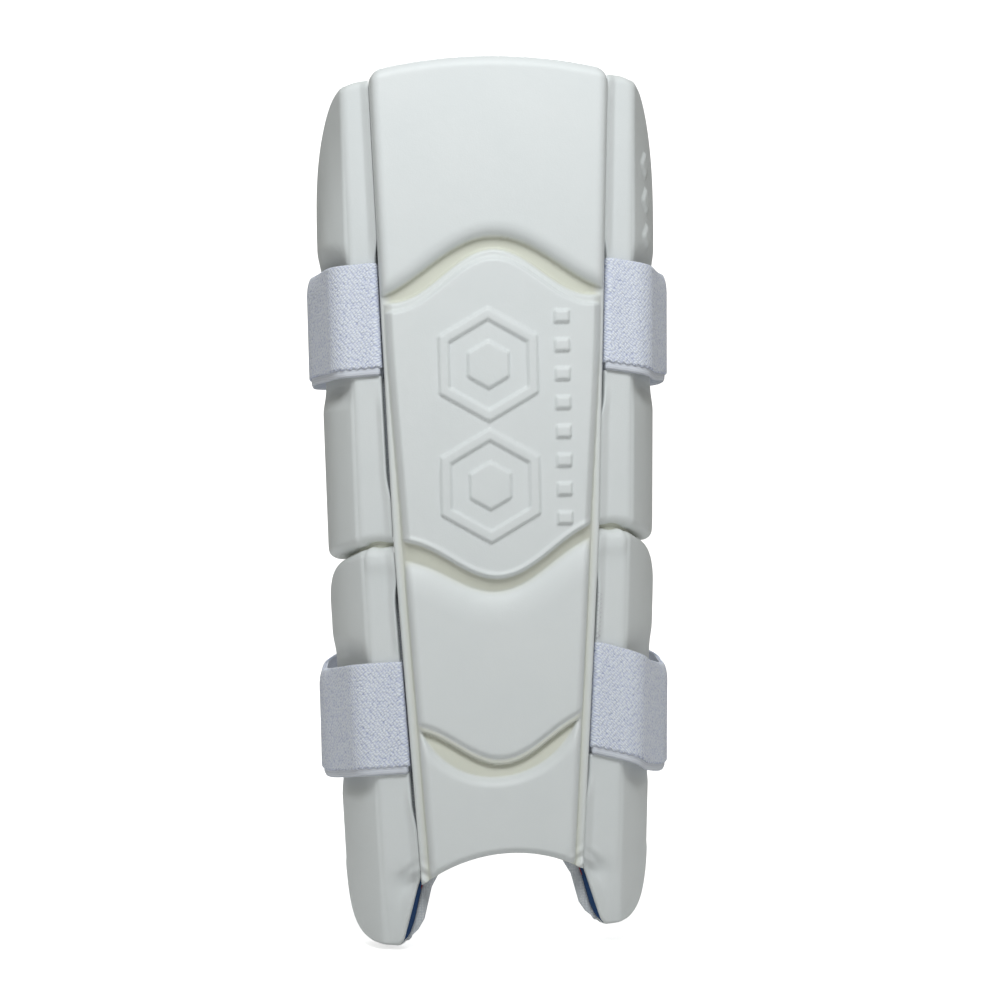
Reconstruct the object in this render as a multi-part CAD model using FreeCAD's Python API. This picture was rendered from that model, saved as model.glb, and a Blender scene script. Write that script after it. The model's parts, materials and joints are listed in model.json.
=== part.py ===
import FreeCAD, Part
import math
import os

# A wicket-keeper's leg pad, in millimetres.
# +Z runs up the wearer's leg, -Y is the front that faces the ball, and +X is to the right
# of someone who looks at the front. The origin is on the leg's axis, level with the knee
# flex line. Left and right name the sides as seen from the front.
#
# A centre column stands proud of four side wings. It is split at the knee flex line into a
# knee section and a shin section. Column and wings are layers: a moulded facing, a foam
# core and a padded lining. Two wide elastic straps run behind the column, come out through
# a slot on each side of it, lie over the wings and close behind the leg.

V = FreeCAD.Vector
OUT = "parts"

# ---- heights ---------------------------------------------------------------------------
TOP_Z = 337.0            # crown of the column
FOOT_Z = -220.0          # peak of the arch over the instep
EAR_Z = -281.5           # mean height of the two ear tips
WING_TOP_Z = 317.0
SKEW = 0.07              # rise per mm of +X of everything below the knee: the pad fits one leg
FLEX_GAP = 5.0           # between the two sections' facings and cores
LINING_GAP = 1.5         # between their linings, beside the flex axis
NOTCH_GAP = 4.0          # between an upper and a lower wing

# ---- the column, in plan ---------------------------------------------------------------
TOP_HALF = 84.5          # half width at TOP_Z
KNEE_HALF = 72.0         # half width at the flex line
FOOT_HALF = 57.0         # half width at COLUMN_FOOT_Z
COLUMN_FOOT_Z = -230.0
SKIN = 3.0               # moulded facing
PANEL_Y = -93.0          # front of the raised panels
RIM_Y = -83.0            # front of the rim and of the valleys between panels
SKIN_BACK_Y = -61.0      # where the facing's side walls end
CORE_BACK_Y = -57.5
LINING_BACK_Y = -51.5
PANEL_CHAMFER = 4.0
RIM = 7.0                # width of the rim beside the panels

# ---- the knee plate's raised decoration ------------------------------------------------
RELIEF = 2.5
RING_X = -4.0
RING_Z = (121.0, 37.0)
RING_RADIUS = 40.0
RING_WIDTH = 9.0
BOSS_RADIUS = 17.0
BARS = 8
BAR_X = 42.0
BAR_MID_Z = 84.0
BAR_PITCH = 20.0

# ---- the wings, in plan ----------------------------------------------------------------
WING_Y = -74.0           # a wing's front face where it meets the column
GROOVE = 0.4             # running gap beside the column
FRONT_ANGLE = 12.0       # how far the front face falls back
WING_CORE = 12.0         # depth of facing and core
WING_DEPTH = 18.0        # depth of facing, core and lining
PIPING = 2.2
WINGS = {
    "upper": dict(half=(KNEE_HALF, TOP_HALF, TOP_Z), crease=(97.0, 104.0, TOP_Z),
                  side_angle=72.0, side_length=74.0),
    "lower": dict(half=(KNEE_HALF, FOOT_HALF, COLUMN_FOOT_Z), crease=(94.5, 82.4, -285.0),
                  side_angle=68.0, side_length=72.0),
}

# ---- the straps ------------------------------------------------------------------------
STRAP_Z = {"upper": 150.0, "lower": -121.0}
STRAP_HEIGHT = 80.0      # woven base ply
PILE_HEIGHT = 74.0       # loop-pile ply, flush with the base ply's top edge
PLY = 1.5
STRAP_LIFT = 1.0         # between strap and wing
SLOT_ROOM = 1.0          # between a strap and the edges of its slot
STRAP_SIDE_X = {"upper": 130.0, "lower": 126.0}
STRAP_SIDE_END_Y = 4.0
STRAP_CORNER = 46.0      # radius behind the leg
INNER_BACK_Y = 56.5      # centreline of the half that lies against the leg
OUTER_BACK_Y = 61.0      # centreline of the half that carries the closing tab
INNER_END_X = -10.0
TAB_X = -30.0
TAB_END_X = -76.0
TAB_CORNER = 12.0
HOOK = 1.2
HOOK_HEIGHT = 54.0
HINGE_GAP = 0.4

# ---- padding that faces the leg --------------------------------------------------------
BOLSTER_DEPTH = 12.0
BOLSTER_WIDTH = 29.0
BOLSTER_PITCH = 33.0
KNEE_ROLL_HEIGHT = 36.0
KNEE_ROLLS_Z = {"upper": 232.0, "lower": 46.0}


class Curve:
    """A curve across the front: z = mid + bulge(x) + skew * x. A positive radius turns its
    ends up, as a smile does, and a negative one turns them down, as an arch does."""

    def __init__(self, mid, radius, skew=0.0):
        self.mid, self.radius, self.skew = mid, radius, skew

    def at(self, x):
        r = abs(self.radius)
        rise = r - math.sqrt(r * r - x * x)
        return self.mid + math.copysign(rise, self.radius) + self.skew * x

    def raised(self, dz):
        """The parallel curve dz higher."""
        return Curve(self.mid + dz, self.radius - dz, self.skew)


CROWN = Curve(TOP_Z, -350.0)
TOP_PANEL_TOP = CROWN.raised(-6.0)
TOP_PANEL_LOW = Curve(209.0, -86.0)
PLATE_TOP = Curve(197.0, -84.0)
PLATE_LOW = Curve(-21.0, 80.0, SKEW)
SPLIT = Curve(-30.0, 88.0, SKEW)
SHIN_TOP = Curve(-38.0, 96.0, SKEW)
SHIN_LOW = Curve(-149.0, 68.0, SKEW)
INSTEP_TOP = Curve(-158.0, 74.0, SKEW)
FOOT = Curve(FOOT_Z, -110.0, SKEW)
INSTEP_LOW = FOOT.raised(6.0)
SPLIT_WIDTH = 82.0       # half the width over which the split is cut
CROWN_WIDTH = 95.0


# ---- small helpers ---------------------------------------------------------------------
def linear(z, at_zero, at_ref, ref):
    return at_zero + (at_ref - at_zero) * z / ref


def upper_half(z):
    return linear(z, KNEE_HALF, TOP_HALF, TOP_Z)


def lower_half(z):
    return linear(z, KNEE_HALF, FOOT_HALF, COLUMN_FOOT_Z)


HALF = {"upper": upper_half, "lower": lower_half}


def outline(to_3d, start, *steps):
    """A planar face. Each step is an end point, or a pair (through, end) for an arc."""
    edges, here = [], start
    for step in (*steps, start):
        if isinstance(step[0], tuple):
            through, end = step
            edges.append(Part.Arc(to_3d(*here), to_3d(*through), to_3d(*end)).toShape())
        else:
            end = step
            if end == here:
                continue
            edges.append(Part.LineSegment(to_3d(*here), to_3d(*end)).toShape())
        here = end
    return Part.Face(Part.Wire(edges))


def front_prism(y0, y1, start, *steps):
    """A front-view outline, in x and z, given the depth from y0 to y1."""
    face = outline(lambda x, z: V(x, y0, z), start, *steps)
    return face.extrude(V(0, y1 - y0, 0))


def side_prism(x0, x1, start, *steps):
    """A side-view outline, in y and z, given the width from x0 to x1."""
    face = outline(lambda y, z: V(x0, y, z), start, *steps)
    return face.extrude(V(x1 - x0, 0, 0))


def plan_prism(z0, z1, start, *steps):
    """A plan-view outline, in x and y, given the height from z0 to z1."""
    face = outline(lambda x, y: V(x, y, z0), start, *steps)
    return face.extrude(V(0, 0, z1 - z0))


def tapered(section, z0, z1):
    """The flat-sided solid between section(z0) and section(z1), polygons in x and y whose
    matching sides are parallel."""
    low = [V(x, y, z0) for x, y in section(z0)]
    high = [V(x, y, z1) for x, y in section(z1)]
    rings = [low, high]
    for i in range(len(low)):
        j = (i + 1) % len(low)
        rings.append([low[i], low[j], high[j], high[i]])
    faces = [Part.Face(Part.makePolygon(ring + ring[:1])) for ring in rings]
    solid = Part.Solid(Part.Shell(faces))
    if solid.Volume < 0:
        solid.reverse()
    return solid


def mirrored(shape, side):
    """Shapes are drawn for the right side."""
    return shape if side == "right" else shape.mirror(V(0, 0, 0), V(1, 0, 0))


def sign(side):
    return 1.0 if side == "right" else -1.0


def arc_step(curve, x):
    """The step of an outline that follows the curve to x from -x."""
    return ((0.0, curve.at(0.0)), (x, curve.at(x)))


# ---- the column ------------------------------------------------------------------------
def column_block(level, y0, y1, inset=0.0):
    """The column's full height, between two depths and in from its sides."""
    half = HALF[level]
    z0, z1 = (-60.0, 350.0) if level == "upper" else (-320.0, 60.0)

    def section(z):
        w = half(z) - inset
        return [(-w, y0), (w, y0), (w, y1), (-w, y1)]

    return tapered(section, z0, z1)


def knee_region(y0, y1, split_gap, inset=0.0):
    """The front outline of the knee section, between the crown and the flex split."""
    low, high = SPLIT.raised(split_gap / 2 + inset), CROWN.raised(-inset)
    return front_prism(
        y0, y1,
        (-SPLIT_WIDTH, low.at(-SPLIT_WIDTH)), arc_step(low, SPLIT_WIDTH),
        (CROWN_WIDTH, high.at(CROWN_WIDTH)), arc_step(high, -CROWN_WIDTH),
    )


def shin_region(y0, y1, split_gap, inset=0.0):
    """The front outline of the shin section, between the flex split and the foot arch."""
    low, high = FOOT.raised(inset), SPLIT.raised(-split_gap / 2 - inset)
    return front_prism(
        y0, y1,
        (-SPLIT_WIDTH, low.at(-SPLIT_WIDTH)), arc_step(low, SPLIT_WIDTH),
        (SPLIT_WIDTH, high.at(SPLIT_WIDTH)), arc_step(high, -SPLIT_WIDTH),
    )


REGION = {"upper": knee_region, "lower": shin_region}


def panel(level, low, high, y0, y1, inset=0.0):
    """A raised panel between two curves, its sides following the column's."""
    low, high = low.raised(inset), high.raised(-inset)
    half = HALF[level]

    def corner(curve, side):
        x = half(curve.at(half(curve.mid) - RIM)) - RIM - inset
        return side * x, curve.at(side * x)

    return front_prism(
        y0, y1,
        corner(low, -1), ((0.0, low.at(0.0)), corner(low, 1)),
        corner(high, 1), ((0.0, high.at(0.0)), corner(high, -1)),
    )


def chamfered(solid, y, size):
    """The solid with the edges of its face at depth y bevelled."""
    edges = [e for e in solid.Edges if abs(e.BoundBox.YMin - y) < 1e-6 and e.BoundBox.YLength < 1e-6]
    return solid.makeChamfer(size, edges)


PANELS = {
    "top_panel_insert": ("upper", TOP_PANEL_LOW, TOP_PANEL_TOP),
    "knee_plate_insert": ("upper", PLATE_LOW, PLATE_TOP),
    "shin_panel_insert": ("lower", SHIN_LOW, SHIN_TOP),
    "instep_panel_insert": ("lower", INSTEP_LOW, INSTEP_TOP),
}


def insert(name):
    """The foam block that fills a raised panel, resting on the core."""
    level, low, high = PANELS[name]
    return panel(level, low, high, PANEL_Y + SKIN, RIM_Y + SKIN, SKIN)


def hexagon(x, z, radius):
    """A prism from the plate's face down, its upright corners above and below its middle."""
    corners = []
    for k in range(6):
        a = math.radians(60 * k + 30)
        corners.append((x + radius * math.cos(a), z + radius * math.sin(a)))
    return front_prism(PANEL_Y - RELIEF, PANEL_Y + 1.0, *corners)


def knee_plate_relief():
    """Plain raised decoration: two hexagonal rings with a boss in each, and a row of bars."""
    shapes = []
    for z in RING_Z:
        shapes.append(hexagon(RING_X, z, RING_RADIUS).cut(hexagon(RING_X, z, RING_RADIUS - RING_WIDTH)))
        shapes.append(hexagon(RING_X, z, BOSS_RADIUS))
    for k in range(BARS):
        z = BAR_MID_Z + BAR_PITCH * (k - (BARS - 1) / 2)
        shapes.append(Part.makeBox(11.0, RELIEF + 1.0, 9.0, V(BAR_X, PANEL_Y - RELIEF, z - 4.5)))
    return shapes


def facing(level):
    """The moulded skin of one section: rim, side walls and raised panels, open at the back."""
    outer = column_block(level, RIM_Y, SKIN_BACK_Y).common(
        REGION[level](RIM_Y - 1, SKIN_BACK_Y + 1, FLEX_GAP))
    for panel_level, low, high in PANELS.values():
        if panel_level == level:
            raised = panel(level, low, high, PANEL_Y, RIM_Y + 1.0)
            outer = outer.fuse(chamfered(raised, PANEL_Y, PANEL_CHAMFER))
    if level == "upper":
        outer = outer.multiFuse(knee_plate_relief())
    hollow = column_block(level, RIM_Y + SKIN, SKIN_BACK_Y, SKIN).common(
        REGION[level](RIM_Y, SKIN_BACK_Y + 1, FLEX_GAP, SKIN))
    skin = outer.cut(hollow)
    for name, (panel_level, _, _) in PANELS.items():
        if panel_level == level:
            skin = skin.cut(insert(name))
    return skin.removeSplitter()


def strap_slab(level, extra=0.0, bottom=0.0):
    """The height that a strap takes up, widened by extra at both edges and raised from its
    lower edge by bottom."""
    low = STRAP_Z[level] - STRAP_HEIGHT / 2 - extra + bottom
    high = STRAP_Z[level] + STRAP_HEIGHT / 2 + extra
    return Part.makeBox(400.0, 240.0, high - low, V(-200.0, -120.0, low))


def core(level):
    """The foam block behind the facing, with the channel that the strap runs in."""
    front = column_block(level, RIM_Y + SKIN, SKIN_BACK_Y, SKIN).common(
        REGION[level](RIM_Y, SKIN_BACK_Y + 1, FLEX_GAP, SKIN))
    back = column_block(level, SKIN_BACK_Y, CORE_BACK_Y).common(
        REGION[level](SKIN_BACK_Y - 1, CORE_BACK_Y + 1, FLEX_GAP))
    channel = column_block(level, CORE_BACK_Y - 2 * PLY - 0.4, CORE_BACK_Y + 1, -5.0).common(
        strap_slab(level, SLOT_ROOM))
    return front.fuse(back).cut(channel).removeSplitter()


def lining(level):
    return column_block(level, CORE_BACK_Y, LINING_BACK_Y).common(
        REGION[level](CORE_BACK_Y - 1, LINING_BACK_Y + 1, LINING_GAP))


def shin_bolster(x):
    """A stuffed roll that stands on the shin lining."""
    z0, z1 = FOOT_Z + 22.0, -34.0
    w, y = BOLSTER_WIDTH / 2, LINING_BACK_Y
    return plan_prism(z0, z1, (x - w, y), ((x, y + BOLSTER_DEPTH), (x + w, y)))


def knee_roll(z):
    """A stuffed roll across the knee lining, which seats the knee."""
    w, h, y = upper_half(z) - 14.0, KNEE_ROLL_HEIGHT / 2, LINING_BACK_Y
    return side_prism(-w, w, (y, z - h), ((y + BOLSTER_DEPTH, z), (y, z + h)))


def knee_cushion():
    """The soft flat pad that the kneecap rests on, between the two rolls."""
    low = KNEE_ROLLS_Z["lower"] + KNEE_ROLL_HEIGHT / 2 + 6.0
    high = KNEE_ROLLS_Z["upper"] - KNEE_ROLL_HEIGHT / 2 - 6.0
    cushion = Part.makeBox(104.0, 6.0, high - low, V(-52.0, LINING_BACK_Y, low))
    upright = [e for e in cushion.Edges if e.BoundBox.YLength > 5.9 and e.BoundBox.ZLength < 1e-6]
    return cushion.makeFillet(16.0, upright)


def knee_flex_web():
    """The thin moulded web at the flex split that lets the knee section rock on the shin."""
    strip = column_block("upper", RIM_Y + 12.0, RIM_Y + 14.5, 0.6)
    return strip.common(knee_region(RIM_Y + 11.0, RIM_Y + 16.0, -FLEX_GAP)).cut(
        knee_region(RIM_Y + 10.0, RIM_Y + 17.0, FLEX_GAP))


def bound_edge(level, inset, band):
    """A bead along the crown or the foot arch, level with the core's back and the lining."""
    region = REGION[level]
    bead = region(SKIN_BACK_Y - 1, LINING_BACK_Y + 1, FLEX_GAP, -PIPING).cut(
        region(SKIN_BACK_Y - 2, LINING_BACK_Y + 2, FLEX_GAP))
    return column_block(level, SKIN_BACK_Y, LINING_BACK_Y, inset).common(bead).common(band)


def crown_piping():
    return bound_edge("upper", 8.0, Part.makeBox(300, 60, 100, V(-150, -80, TOP_Z - 60)))


def foot_piping():
    """Ends short of the ears' linings, which swing past it."""
    return bound_edge("lower", 17.0, Part.makeBox(300, 60, 100, V(-150, -80, FOOT_Z - 60)))


# ---- the wings -------------------------------------------------------------------------
def direction(angle):
    return math.cos(math.radians(angle)), math.sin(math.radians(angle))


def crossing(p, d, q, e):
    """Where the line through p along d meets the line through q along e."""
    t = ((q[0] - p[0]) * e[1] - (q[1] - p[1]) * e[0]) / (d[0] * e[1] - d[1] * e[0])
    return p[0] + t * d[0], p[1] + t * d[1]


def wing_points(level, z, depth, beside=GROOVE):
    """A wing's groove edge, crease and rear edge at height z, at a depth under its face."""
    w = WINGS[level]
    front, side = direction(FRONT_ANGLE), direction(w["side_angle"])
    half, crease_x = linear(z, *w["half"]), linear(z, *w["crease"])
    crease = (crease_x, WING_Y + (crease_x - half) * math.tan(math.radians(FRONT_ANGLE)))
    rear = (crease[0] + w["side_length"] * side[0], crease[1] + w["side_length"] * side[1])
    on_front = (crease[0] - depth * front[1], crease[1] + depth * front[0])
    on_side = (crease[0] - depth * side[1], crease[1] + depth * side[0])
    groove = crossing(on_front, front, (half + beside, 0.0), (0.0, 1.0))
    return (
        groove,
        crossing(on_front, front, on_side, side),
        (rear[0] - depth * side[1], rear[1] + depth * side[0]),
    )


def wing_strip(level, depth0, depth1, beside=GROOVE):
    """One layer of a wing, bent at the crease, before its outline is cut."""
    z0, z1 = (-40.0, 345.0) if level == "upper" else (-320.0, 40.0)

    def section(z):
        face = wing_points(level, z, depth0, beside)
        back = wing_points(level, z, depth1, beside)
        return [*face, *reversed(back)]

    return tapered(section, z0, z1)


def notch_z(side, x):
    """Middle of the notch between an upper and a lower wing, x mm from the middle."""
    return 2.0 + sign(side) * SKEW * x - 0.14 * (x - KNEE_HALF)


def ear_z(side):
    return EAR_Z + sign(side) * SKEW * 80.0


def wing_side_outline(level, side):
    """The side view of a wing, with its rounded rear corners. Drawn for the right side."""
    x = 118.0
    if level == "upper":
        low = notch_z(side, x) + NOTCH_GAP / 2
        return side_prism(
            0.0, 160.0,
            (-100.0, -60.0), (-16.0, -60.0), (-16.0, low),
            ((-1.5, low + 7.0), (4.5, low + 22.0)), (4.5, 232.0),
            ((-14.0, 292.0), (-62.0, WING_TOP_Z)), (-100.0, WING_TOP_Z + 1.5),
        )
    high, low = notch_z(side, x) - NOTCH_GAP / 2, ear_z(side)
    return side_prism(
        0.0, 160.0,
        (-100.0, low), (-62.0, low), ((-19.0, low + 17.0), (2.5, low + 60.0)),
        (2.5, high - 24.0), ((-4.0, high - 8.0), (-16.0, high)), (-16.0, 40.0), (-100.0, 40.0),
    )


def ear_edge(z, side):
    """How far out the ear's inner edge is at height z."""
    return linear(z - COLUMN_FOOT_Z, FOOT_HALF + 1.0, 72.0, ear_z(side) - COLUMN_FOOT_Z)


def wing_front_outline(level, side, ear_inset=0.0):
    """The front view of a wing: the notch, and the ear's sloping inner edge."""
    inner, outer = 30.0, 160.0
    if level == "upper":
        gap = NOTCH_GAP / 2
        return front_prism(
            -110.0, 40.0,
            (inner, notch_z(side, inner) + gap), (outer, notch_z(side, outer) + gap),
            (outer, 360.0), (inner, 360.0),
        )
    gap, low, shoulder = -NOTCH_GAP / 2, -330.0, COLUMN_FOOT_Z - 5.0
    return front_prism(
        -110.0, 40.0,
        (inner, shoulder), (ear_edge(shoulder, side) + ear_inset, shoulder),
        (ear_edge(low, side) + ear_inset, low), (outer, low),
        (outer, notch_z(side, outer) + gap), (inner, notch_z(side, inner) + gap),
    )


def slot_pocket(level):
    """What the strap's slot takes out of a wing's edge."""
    room = column_block(level, -95.0, -40.0, -(GROOVE + 2 * PLY + SLOT_ROOM))
    return room.common(strap_slab(level, SLOT_ROOM))


def wing_layer(level, side, depth0, depth1, ear_inset=0.0):
    layer = wing_strip(level, depth0, depth1)
    layer = layer.common(wing_side_outline(level, side))
    layer = layer.common(wing_front_outline(level, side, ear_inset))
    return layer.cut(slot_pocket(level)).removeSplitter()


def wing_facing(level, side):
    skin = wing_layer(level, side, 0.0, SKIN)
    if (level, side) == ("upper", "right"):
        skin = skin.multiFuse(wing_relief())
    return skin


def wing_relief():
    """Three raised lozenges on the outer face of the upper right wing: plain decoration."""
    along = direction(WINGS["upper"]["side_angle"])
    studs = []
    for k in range(3):
        z = 214.0 + 26.0 * k
        crease = wing_points("upper", z, 0.0)[1]
        centre = V(crease[0] + 30.0 * along[0], crease[1] + 30.0 * along[1], z)
        out, side = V(along[1], -along[0], 0), V(along[0], along[1], 0)
        base = centre - out * 1.0
        corners = [base + side * 11.0, base + V(0, 0, 10.0), base - side * 11.0, base - V(0, 0, 10.0)]
        studs.append(Part.Face(Part.makePolygon(corners + corners[:1])).extrude(out * 2.2))
    return studs


def ear_flap(side):
    """The lining's extension inwards under the foot arch, seen beside the ear."""
    strip = wing_strip("lower", WING_CORE, WING_DEPTH, -30.0)
    foot = FOOT.raised(-3.0)
    low = ear_z(side)
    shape = front_prism(
        -110.0, 40.0,
        (FOOT_HALF - 13.0, foot.at(sign(side) * (FOOT_HALF - 13.0))),
        (FOOT_HALF + 1.0, low + 17.0), (72.0, low), (76.0, low),
        (76.0, foot.at(sign(side) * 76.0)), (FOOT_HALF, foot.at(sign(side) * FOOT_HALF)),
    )
    return strip.common(shape)


def ear_trim(side):
    """The bound edge between facing and lining along the ear's inner edge."""
    layer = wing_strip("lower", SKIN, WING_CORE)
    layer = layer.common(wing_side_outline("lower", side))
    edge = wing_front_outline("lower", side).cut(wing_front_outline("lower", side, SKIN))
    return layer.common(edge).common(Part.makeBox(60, 120, 70, V(40, -110, -300)))


def wing_piping(level, side):
    """The bound rear edge of a wing, along its straight stretch."""
    along = direction(WINGS[level]["side_angle"])
    if level == "upper":
        z0, z1 = 28.0, 226.0
    else:
        z0, z1 = ear_z(side) + 62.0, notch_z(side, 118.0) - 30.0

    def section(z):
        face = wing_points(level, z, 0.0)[2]
        back = wing_points(level, z, WING_DEPTH)[2]
        return [face, (face[0] + PIPING * along[0], face[1] + PIPING * along[1]),
                (back[0] + PIPING * along[0], back[1] + PIPING * along[1]), back]

    return tapered(section, z0, z1)


# ---- the straps ------------------------------------------------------------------------
class Path:
    """A path in plan: straight runs through points, with a radius at each inner point."""

    def __init__(self, points, radii):
        self.points, self.radii = points, radii

    def offset(self, d):
        """The edges as (start, through or None, end), moved d to the path's left."""
        pieces, here = [], self._shift(0, self.points[0], d)
        for i, radius in enumerate(self.radii, start=1):
            p, a, b = self.points[i], self._heading(i - 1), self._heading(i)
            turn = math.atan2(a[0] * b[1] - a[1] * b[0], a[0] * b[0] + a[1] * b[1])
            set_back = radius * math.tan(abs(turn) / 2)
            t0 = (p[0] - set_back * a[0], p[1] - set_back * a[1])
            side = math.copysign(1.0, turn)
            centre = (t0[0] - side * radius * a[1], t0[1] + side * radius * a[0])
            reach = radius - side * d

            def on_arc(share):
                angle = share * turn
                out = (side * a[1], -side * a[0])
                c, s = math.cos(angle), math.sin(angle)
                return (centre[0] + reach * (out[0] * c - out[1] * s),
                        centre[1] + reach * (out[0] * s + out[1] * c))

            pieces.append((here, None, on_arc(0.0)))
            pieces.append((on_arc(0.0), on_arc(0.5), on_arc(1.0)))
            here = on_arc(1.0)
        pieces.append((here, None, self._shift(len(self.points) - 2, self.points[-1], d)))
        return pieces

    def _heading(self, i):
        (x0, y0), (x1, y1) = self.points[i], self.points[i + 1]
        length = math.hypot(x1 - x0, y1 - y0)
        return (x1 - x0) / length, (y1 - y0) / length

    def _shift(self, run, p, d):
        h = self._heading(run)
        return p[0] - d * h[1], p[1] + d * h[0]

    def band(self, d0, d1):
        """The steps of the plan outline between two offsets, ready for plan_prism."""
        out, back = self.offset(d0), self.offset(d1)
        steps = [(through, end) if through else end for _, through, end in out]
        steps.append(back[-1][2])
        steps += [(through, start) if through else start for start, through, _ in reversed(back)]
        return [out[0][0], *steps[:-1]]


def strap_piece(level, path):
    """A band along the path. The base ply is on the path's left, the leg's side, and the
    pile ply is on its right and stops short of the base ply's lower edge."""
    base = plan_prism(-260.0, 260.0, *path.band(0.0, PLY)).common(strap_slab(level))
    pile = plan_prism(-260.0, 260.0, *path.band(-PLY, 0.0)).common(
        strap_slab(level, bottom=STRAP_HEIGHT - PILE_HEIGHT))
    return base.fuse(pile)


def strap_over_wing(level):
    """The strap from its slot over a wing to the wing's rear edge. Drawn for the right."""
    z, half, x = STRAP_Z[level], HALF[level](STRAP_Z[level]), STRAP_SIDE_X[level]
    front = direction(FRONT_ANGLE)
    lift = STRAP_LIFT + PLY
    start = (half - 6.0, WING_Y - lift / front[0] - 6.0 * front[1] / front[0])
    crease_x = linear(z, *WINGS[level]["crease"])
    run = crease_x + 10.0 - start[0]
    corner = (start[0] + run, start[1] + run * front[1] / front[0])
    path = Path([start, corner, (x, -14.0), (x, STRAP_SIDE_END_Y)], [19.0, 60.0])
    beside_column = column_block(level, -100.0, -40.0, -(GROOVE + 0.4))
    return strap_piece(level, path).cut(beside_column)


def strap_behind_column(level):
    """The stretch in the core's channel, with an end turned forward into each slot."""
    y1, y0 = CORE_BACK_Y - 0.2, CORE_BACK_Y - 0.2 - 2 * PLY
    reach = -(GROOVE + 2 * PLY)
    flat = column_block(level, y0, y1, reach)
    legs = column_block(level, WING_Y + 0.1, y1, reach).cut(
        column_block(level, WING_Y - 5, y0, -GROOVE))
    return flat.fuse(legs).common(strap_slab(level)).removeSplitter()


def strap_inner_half(level):
    """The half that lies against the leg. Drawn for the right side, used on the left."""
    x = STRAP_SIDE_X[level]
    path = Path([(x, STRAP_SIDE_END_Y + HINGE_GAP), (x, INNER_BACK_Y), (-INNER_END_X, INNER_BACK_Y)],
                [STRAP_CORNER - 4.0])
    return strap_piece(level, path)


def strap_outer_half(level):
    """The half that laps over the other one, as far as the tab."""
    x = STRAP_SIDE_X[level]
    path = Path([(x, STRAP_SIDE_END_Y + HINGE_GAP), (x, OUTER_BACK_Y), (TAB_X + HINGE_GAP, OUTER_BACK_Y)],
                [STRAP_CORNER])
    return strap_piece(level, path)


def strap_tab(level):
    """The peeling end of the outer half, with a rounded tip."""
    tab = Part.makeBox(TAB_X - TAB_END_X, 2 * PLY, STRAP_HEIGHT,
                       V(TAB_END_X, OUTER_BACK_Y - PLY, STRAP_Z[level] - STRAP_HEIGHT / 2))
    tip = [e for e in tab.Edges
           if e.BoundBox.XMax < TAB_END_X + 0.01 and e.BoundBox.ZLength < 0.01 and e.BoundBox.YLength > 1]
    return tab.makeFillet(TAB_CORNER, tip)


def hook_patch(level):
    """Hook tape sewn inside the tab, facing the inner half's pile."""
    low = STRAP_Z[level] - HOOK_HEIGHT / 2
    return Part.makeBox(34.0, HOOK, HOOK_HEIGHT, V(TAB_END_X + 7.0, OUTER_BACK_Y - PLY - HOOK, low))


# ---- the assembly ----------------------------------------------------------------------
def column_nodes():
    nodes = {name: insert(name) for name in PANELS}
    for level, section in (("upper", "knee"), ("lower", "shin")):
        nodes[f"{section}_facing"] = facing(level)
        nodes[f"{section}_core"] = core(level)
        nodes[f"{section}_lining"] = lining(level)
        nodes[f"{level}_strap_behind_column"] = strap_behind_column(level)
    for name, x in (("left", -BOLSTER_PITCH), ("middle", 0.0), ("right", BOLSTER_PITCH)):
        nodes[f"shin_bolster_{name}"] = shin_bolster(x)
    for level, z in KNEE_ROLLS_Z.items():
        nodes[f"knee_roll_{level}"] = knee_roll(z)
    nodes["knee_cushion"] = knee_cushion()
    nodes["knee_flex_web"] = knee_flex_web()
    nodes["crown_piping"] = crown_piping()
    nodes["foot_piping"] = foot_piping()
    return nodes


def wing_nodes(level, side):
    name = f"{level}_{side}_wing"
    ear_inset = SKIN if level == "lower" else 0.0
    back = wing_layer(level, side, WING_CORE, WING_DEPTH)
    if level == "lower":
        back = back.fuse(ear_flap(side)).removeSplitter()
    nodes = {
        f"{name}_facing": wing_facing(level, side),
        f"{name}_core": wing_layer(level, side, SKIN, WING_CORE, ear_inset),
        f"{name}_lining": back,
        f"{name}_piping": wing_piping(level, side),
    }
    if level == "lower":
        nodes[f"{name}_ear_trim"] = ear_trim(side)
    return {name: mirrored(shape, side) for name, shape in nodes.items()}


def strap_nodes(level):
    over_wing = strap_over_wing(level)
    return {
        f"{level}_strap_over_right_wing": over_wing,
        f"{level}_strap_over_left_wing": mirrored(over_wing, "left"),
        f"{level}_strap_inner_half": mirrored(strap_inner_half(level), "left"),
        f"{level}_strap_outer_half": strap_outer_half(level),
        f"{level}_strap_tab": strap_tab(level),
        f"{level}_strap_hook_patch": hook_patch(level),
    }


def main():
    os.makedirs(OUT, exist_ok=True)
    nodes = column_nodes()
    for level in ("upper", "lower"):
        for side in ("left", "right"):
            nodes.update(wing_nodes(level, side))
        nodes.update(strap_nodes(level))
    for name, shape in nodes.items():
        shape.exportStep(os.path.join(OUT, name + ".step"))
    print(len(nodes), "nodes")


main()
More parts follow.
